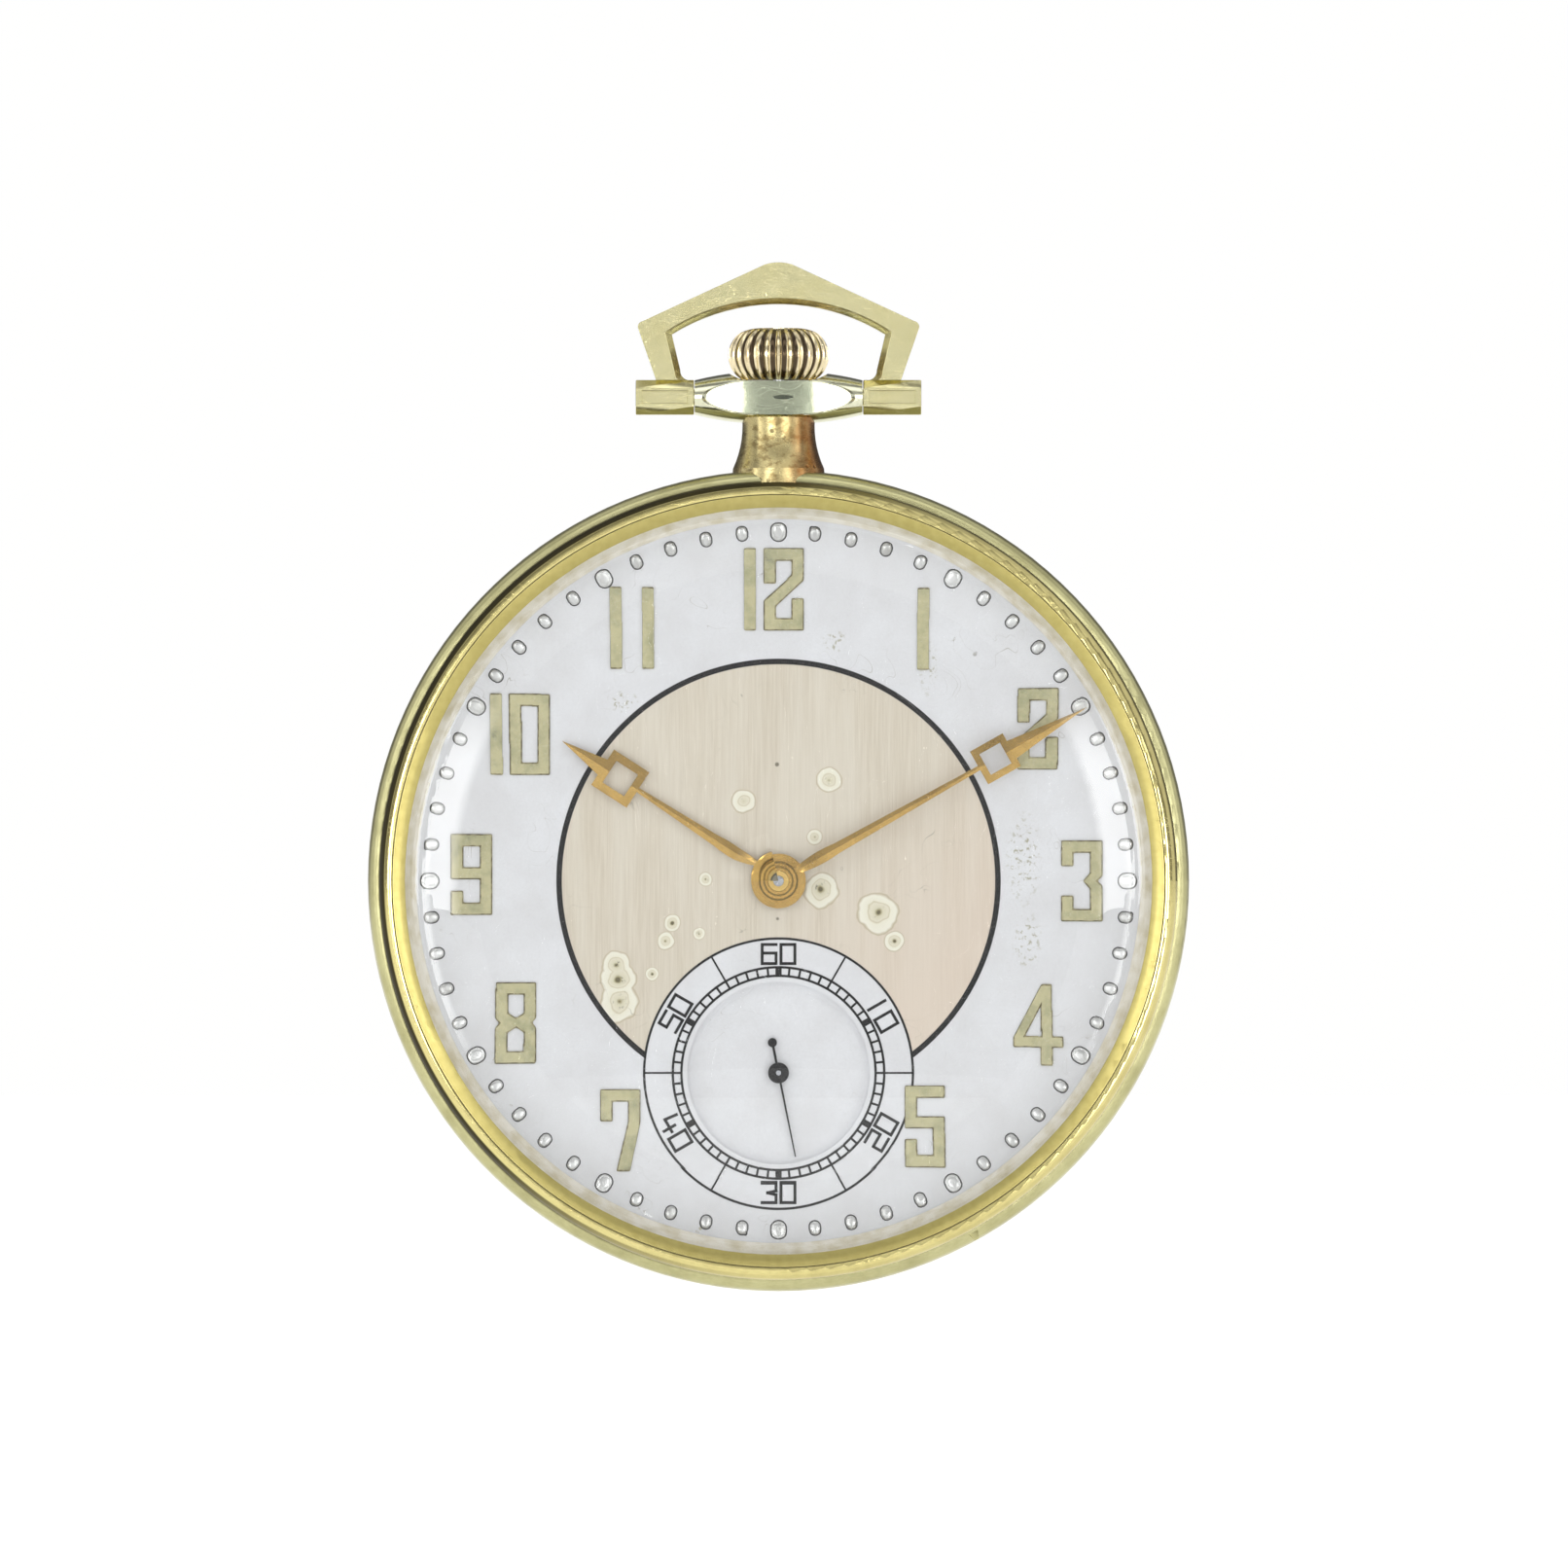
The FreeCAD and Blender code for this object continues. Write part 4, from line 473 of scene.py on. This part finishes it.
def glass_look():
    """Old mineral glass. Lamps and soft light pass straight through to the dial."""
    look = Look("crystal_look", (0.985, 0.995, 0.99), 0.0, 0.0)
    look.set(Transmission_Weight=1.0, IOR=1.46)
    lines = look.near(look.noise(0.3, detail=1, distortion=1.5), 0.5)
    hair = look.math("MULTIPLY", look.step(lines, 0.0018, 0.0006), look.step(look.noise(0.2), 0.5, 0.56))
    look.bump(hair, -0.004, 0.25)
    path = look.node("LightPath")
    through = look.math("MAXIMUM", path.outputs["Is Shadow Ray"], path.outputs["Is Diffuse Ray"])
    clear = look.node("BsdfTransparent").outputs[0]
    mixed = look.shader_mix(through, look.shader.outputs[0], clear)
    look.tree.links.new(mixed, look.output.inputs[0])
    return look


def striped_nickel():
    """Nickel with broad crosswise stripes, for the bridges."""
    look = metal("bridge_look", srgb(206, 205, 198), srgb(150, 148, 140), 0.24, (5, 1, 5), 0.2, 0.2)
    slant = look.math("ADD", look.x, look.math("MULTIPLY", look.z, 0.5))
    wave = look.math("SINE", look.math("MULTIPLY", slant, 3.6))
    look.bump(wave, 0.01, 0.5)
    return look


brass = metal("gilt_look", srgb(214, 182, 112), srgb(150, 116, 58), 0.28, (6, 1, 6), 0.3, 0.2)
plate_gilt = metal("plate_look", srgb(206, 190, 142), srgb(150, 130, 84), 0.36, (4, 4, 4), 0.35, 0.3)
steel = metal("steel_look", srgb(190, 192, 198), srgb(112, 112, 116), 0.2, (5, 1, 5), 0.25, 0.25)
blued = metal("blued_look", srgb(52, 66, 128), srgb(28, 30, 66), 0.22, (3, 1, 3), 0.3, 0.2)
silver_studs = metal("stud_look", srgb(204, 204, 204), srgb(128, 126, 116), 0.36, (2, 1, 2), 0.45, 0.1)
black = black_look()


def ruby_look():
    look = Look("ruby_look", srgb(150, 16, 44), 0.0, 0.08)
    cloud = look.noise(3.0, detail=4)
    look.set(Base_Color=look.mix(cloud, srgb(120, 10, 34), srgb(196, 40, 76)), Coat_Weight=0.6)
    look.bump(cloud, 0.004, 0.3)
    return look


LOOKS = {
    bezel_look(): ("bezel",),
    band_gold: ("case_band", "case_hinge_knuckles", "back_hinge_pin"),
    back_gold: ("back_cover", "back_hinge_knuckle"),
    bow_gold: ("bow_frame", "bow_barrels", "bow_pivots"),
    collar_look(): ("pendant_collar",),
    neck_look(): ("pendant_neck",),
    crown_look(): ("crown",),
    dial_look("dial_face_look"): ("dial_plate",),
    dial_look("sunk_dial_look", sunk=True): ("seconds_dial",),
    numeral_look(): ("hour_numerals",),
    hand_look("hour_hand_look", HANDS_AT["hour_hand"]): ("hour_hand",),
    hand_look("minute_hand_look", HANDS_AT["minute_hand"]): ("minute_hand",),
    black: ("seconds_hand",),
    rehaut_look(): ("rehaut_ring",),
    glass_look(): ("crystal",),
    striped_nickel(): ("barrel_bridge", "train_bridge", "balance_cock", "pallet_bridge"),
    plate_gilt: ("main_plate", "barrel_drum", "barrel_cover"),
    brass: ("centre_wheel", "third_wheel", "fourth_wheel", "balance_wheel", "hour_wheel", "minute_wheel",
            "cannon_pinion"),
    blued: ("hairspring", "bridge_screws"),
    ruby_look(): ("train_jewels",),
}
for look, names in LOOKS.items():
    for name in names:
        nodes[name].data.materials.clear()
        nodes[name].data.materials.append(look.material)
dressed = {name for names in LOOKS.values() for name in names}
for name in set(nodes) - dressed:
    nodes[name].data.materials.clear()
    nodes[name].data.materials.append(steel.material)


def soften(name, width_mm, edge=None):
    """A small bevel on a CAD node's sharp edges, by modifiers only. edge is another material for it."""
    weld = nodes[name].modifiers.new("joined_corners", "WELD")
    weld.merge_threshold = 0.001 * MM
    bevel = nodes[name].modifiers.new("soft_edges", "BEVEL")
    bevel.width = width_mm * MM
    bevel.segments = 2
    bevel.limit_method = "ANGLE"
    bevel.angle_limit = math.radians(35)
    bevel.use_clamp_overlap = True
    if edge:
        nodes[name].data.materials.append(edge.material)
        bevel.material = len(nodes[name].data.materials) - 1


# The numerals' bevel gets the dark outline with painted shade.
soften("hour_numerals", 0.075, edge_look())
soften("bow_frame", 0.08)
soften("bow_barrels", 0.05)


def put_in_scene(name, data):
    made = bpy.data.objects.new(name, data)
    scene.collection.objects.link(made)
    return made


# ---- the dial's printing and studs ---------------------------------------------------------------
INK_THICK = 0.014
DIGIT_HEIGHT, DIGIT_WIDTH, DIGIT_GAP, DIGIT_STROKE = 1.04, 0.76, 0.27, 0.16
FINE_LINE = 0.13


class Print:
    """Flat black shapes on the dial. Points are (x, z) in mm."""

    def __init__(self):
        self.mesh = bmesh.new()

    def patch(self, points):
        front = [self.mesh.verts.new(Vector((x, DIAL_FACE_Y - INK_THICK, z)) * MM) for x, z in points]
        back = [self.mesh.verts.new(Vector((x, DIAL_FACE_Y, z)) * MM) for x, z in points]
        self.mesh.faces.new(front)
        count = len(points)
        for i in range(count):
            j = (i + 1) % count
            self.mesh.faces.new((front[i], back[i], back[j], front[j]))

    def arc(self, centre, inner, outer, start=0.0, end=360.0, pieces=360):
        """A band between two radii; angles are in degrees from +X towards +Z."""
        def at(r, a):
            return (centre[0] + r * math.cos(math.radians(a)), centre[1] + r * math.sin(math.radians(a)))
        step = (end - start) / pieces
        for i in range(pieces):
            a, b = start + i * step, start + (i + 1) * step
            self.patch((at(inner, a), at(outer, a), at(outer, b), at(inner, b)))

    def bar(self, a, b, width):
        """A straight stroke from a to b."""
        dx, dz = b[0] - a[0], b[1] - a[1]
        length = math.hypot(dx, dz)
        ox, oz = -dz / length * width / 2, dx / length * width / 2
        self.patch(((a[0] - ox, a[1] - oz), (b[0] - ox, b[1] - oz),
                    (b[0] + ox, b[1] + oz), (a[0] + ox, a[1] + oz)))

    def finish(self, name):
        data = bpy.data.meshes.new(name)
        bmesh.ops.recalc_face_normals(self.mesh, faces=self.mesh.faces)
        self.mesh.to_mesh(data)
        data.materials.append(black.material)
        made = put_in_scene(name, data)
        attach(made, "case")


# Each small numeral as strokes between corners of a 2 by 4 grid, (x, y) with y up.
SMALL_DIGITS = {
    "0": ((0, 0, 2, 0), (2, 0, 2, 4), (2, 4, 0, 4), (0, 4, 0, 0)),
    "1": ((1, 0, 1, 4),),
    "2": ((0, 4, 2, 4), (2, 4, 2, 2), (2, 2, 0, 2), (0, 2, 0, 0), (0, 0, 2, 0)),
    "3": ((0, 4, 2, 4), (2, 4, 2, 2.4), (2, 2.4, 0.8, 2), (0.8, 2, 2, 1.6), (2, 1.6, 2, 0), (2, 0, 0, 0)),
    "4": ((0.2, 4, 0, 1.4), (0, 1.4, 2, 1.4), (1.4, 2.6, 1.4, 0)),
    "5": ((2, 4, 0, 4), (0, 4, 0, 2.2), (0, 2.2, 2, 2.2), (2, 2.2, 2, 0), (2, 0, 0, 0)),
    "6": ((2, 4, 0, 4), (0, 4, 0, 0), (0, 0, 2, 0), (2, 0, 2, 2.2), (2, 2.2, 0, 2.2)),
}


def small_number(ink, text, place, turn):
    """A number centred at place, turned clockwise by turn degrees."""
    a = -math.radians(turn)
    step = DIGIT_WIDTH + DIGIT_GAP
    total = step * len(text) - DIGIT_GAP

    def at(left, gx, gy):
        u, v = left + gx / 2 * DIGIT_WIDTH, (gy / 4 - 0.5) * DIGIT_HEIGHT
        return (place[0] + u * math.cos(a) - v * math.sin(a), place[1] + u * math.sin(a) + v * math.cos(a))

    for i, digit in enumerate(text):
        left = i * step - total / 2
        for x0, y0, x1, y1 in SMALL_DIGITS[digit]:
            start, end = at(left, x0, y0), at(left, x1, y1)
            k = DIGIT_STROKE / 2 / math.dist(start, end)
            dx, dz = (end[0] - start[0]) * k, (end[1] - start[1]) * k
            ink.bar((start[0] - dx, start[1] - dz), (end[0] + dx, end[1] + dz), DIGIT_STROKE)


def stud_place(minute):
    a = math.radians(90 - 6 * minute)
    return (STUD_PATH_R * math.cos(a), STUD_PATH_R * math.sin(a))


def studs():
    """The sixty domed studs, with a fine groove around each five-minute one.

    A profile is (share of the radius, height in mm) from the foot to the top.
    """
    plain = ((1.0, 0.0), (0.97, 0.035), (0.88, 0.07), (0.75, 0.09), (0.6, 0.106), (0.4, 0.116), (0.2, 0.12))
    grooved = ((1.0, 0.0), (0.97, 0.045), (0.9, 0.085), (0.82, 0.097), (0.74, 0.078), (0.66, 0.1),
               (0.45, 0.116), (0.2, 0.12))
    mesh, around = bmesh.new(), 32
    for minute in range(60):
        radius, profile = (FIVE_MINUTE_STUD_R, grooved) if minute % 5 == 0 else (STUD_R, plain)
        x, z = stud_place(minute)
        rings = []
        for share, high in profile:
            ring = []
            for i in range(around):
                a = math.tau * i / around
                dx, dz = radius * share * math.cos(a), radius * share * math.sin(a)
                ring.append(mesh.verts.new(Vector((x + dx, DIAL_FACE_Y - high, z + dz)) * MM))
            rings.append(ring)
        for low, high in zip(rings, rings[1:]):
            for i in range(around):
                j = (i + 1) % around
                mesh.faces.new((low[i], low[j], high[j], high[i]))
        mesh.faces.new(rings[-1])
        mesh.faces.new(list(reversed(rings[0])))
    bmesh.ops.recalc_face_normals(mesh, faces=mesh.faces)
    for face in mesh.faces:
        face.smooth = len(face.verts) == 4
    data = bpy.data.meshes.new("studs_domed")
    mesh.to_mesh(data)
    data.materials.append(silver_studs.material)
    made = put_in_scene("studs_domed", data)
    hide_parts("minute_studs")
    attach(made, "case")


def dial_printing():
    """The ring around the beige middle, the seconds scale with its numbers, and a line around each stud."""
    ink = Print()
    seconds_at = (0, SECONDS_Z)
    opening = math.degrees(math.acos((RING_R**2 - SECONDS_OUTER_R**2 + SECONDS_Z**2)
                                     / (2 * RING_R * -SECONDS_Z)))
    ink.arc((0, 0), RING_R - RING_W / 2, RING_R + RING_W / 2, -90 + opening, 270 - opening)
    inner, outer = SECONDS_TRACK
    for r in (SECONDS_OUTER_R, inner, outer):
        ink.arc(seconds_at, r - FINE_LINE / 2, r + FINE_LINE / 2)

    def from_seconds(r, second):
        a = math.radians(90 - 6 * second)
        return (r * math.cos(a), SECONDS_Z + r * math.sin(a))

    for second in range(60):
        width = 0.34 if second % 10 == 0 else 0.12
        ink.bar(from_seconds(inner, second), from_seconds(outer, second), width)
    for second in range(5, 60, 10):
        ink.bar(from_seconds(outer, second), from_seconds(SECONDS_OUTER_R, second), 0.1)
    for text, second, turn in (("60", 0, 0), ("10", 10, 60), ("20", 20, -60), ("30", 30, 0), ("40", 40, 60),
                               ("50", 50, -60)):
        small_number(ink, text, from_seconds(SECONDS_NUMBERS_R, second), turn)
    for minute in range(60):
        r = FIVE_MINUTE_STUD_R if minute % 5 == 0 else STUD_R
        ink.arc(stud_place(minute), r - 0.01, r + 0.045, pieces=32)
    ink.finish("dial_print")


dial_printing()
studs()


# ---- floor, camera and light ---------------------------------------------------------------------
def floor():
    """A broad pale floor, just under the hanging watch."""
    data = bpy.data.meshes.new("studio_floor")
    half, z = 1.6, -0.046
    corners = [(-half, -half, z), (half, -half, z), (half, half, z), (-half, half, z)]
    data.from_pydata(corners, [], [(0, 1, 2, 3)])
    made = put_in_scene("studio_floor", data)
    look = Look("floor_look", (0.86, 0.86, 0.85), 0.0, 0.9)
    speck = look.noise(0.02, detail=4)
    look.set(Base_Color=look.mix(speck, (0.86, 0.86, 0.85), (0.9, 0.9, 0.89)), Emission_Color=(1, 1, 0.995),
             Emission_Strength=0.45)
    data.materials.append(look.material)


def camera():
    """Square to the dial and far off, with the watch a little below the middle."""
    width_at_watch, distance = 0.0858, 0.80
    data = bpy.data.cameras.new("camera")
    data.sensor_width = 36
    data.lens = 36 * distance / width_at_watch
    data.clip_end = 20
    made = put_in_scene("camera", data)
    made.location = (0.0003, -distance - 0.0055, 0.0053)
    made.rotation_euler = (math.radians(90), 0, 0)
    scene.camera = made


def area_light(name, place, size, power):
    """A soft rectangular lamp, facing the dial's middle."""
    data = bpy.data.lights.new(name, "AREA")
    data.shape = "RECTANGLE"
    data.size, data.size_y = size
    data.energy = power
    made = put_in_scene(name, data)
    made.location = place
    made.rotation_euler = (-Vector(place)).to_track_quat("-Z", "Y").to_euler()


def mirrored_light(world):
    """What shiny surfaces see: a white tent with darker seams, and a tall window at each side.

    The tent's grey depends on the angle from straight in front, as a share of half a turn.
    """
    x, y, z = world.split(world.node("TexCoord").outputs["Generated"])[:3]
    off_axis = world.math("DIVIDE", world.math("ARCCOSINE", world.math("MULTIPLY", y, -1.0)), math.pi)
    tent = world.ramp(off_axis, (0.0, 0.62), (0.05, 0.70), (0.10, 0.92), (0.17, 0.62), (0.235, 0.30),
                      (0.26, 1.15), (0.36, 1.20), (0.39, 0.30), (0.45, 0.22), (0.48, 0.85), (0.62, 0.9),
                      (0.70, 0.16), (0.88, 0.10), (1.0, 0.35))
    squares = world.math("ADD", world.math("MULTIPLY", x, x), world.math("MULTIPLY", z, z))
    flat = world.math("ADD", world.math("SQRT", squares), 1e-5)
    sideways = world.math("DIVIDE", world.math("ABSOLUTE", x), flat)
    height = world.math("MULTIPLY", world.step(off_axis, 0.055, 0.07), world.step(off_axis, 0.19, 0.175))
    windows = world.math("MULTIPLY", height, world.step(sideways, 0.86, 0.95))
    return world.math("ADD", tent, world.math("MULTIPLY", windows, 7.0))


def studio():
    """White to the camera, even light on the dial, the tent and windows in the metal, and softboxes."""
    scene.world = bpy.data.worlds.new("studio")
    scene.world.use_nodes = True
    world = Nodes(scene.world.node_tree)
    world.tree.nodes.clear()

    def background(colour, strength=1.0):
        made = world.node("Background")
        world.put(made.inputs[0], colour)
        made.inputs[1].default_value = strength
        return made.outputs[0]

    path = world.node("LightPath").outputs
    even, seen = background((1, 1, 1), 0.72), background((1, 1, 0.995))
    around = world.shader_mix(path["Is Glossy Ray"], even, background(mirrored_light(world)))
    whole = world.shader_mix(path["Is Camera Ray"], around, seen)
    world.tree.links.new(whole, world.node("OutputWorld").inputs[0])
    area_light("left_softbox", (-0.42, -0.22, 0.05), (0.10, 0.45), 0.22)
    area_light("right_softbox", (0.42, -0.22, 0.05), (0.10, 0.45), 0.22)
    area_light("top_softbox", (0.0, -0.30, 0.45), (0.5, 0.2), 0.20)


floor()
camera()
studio()
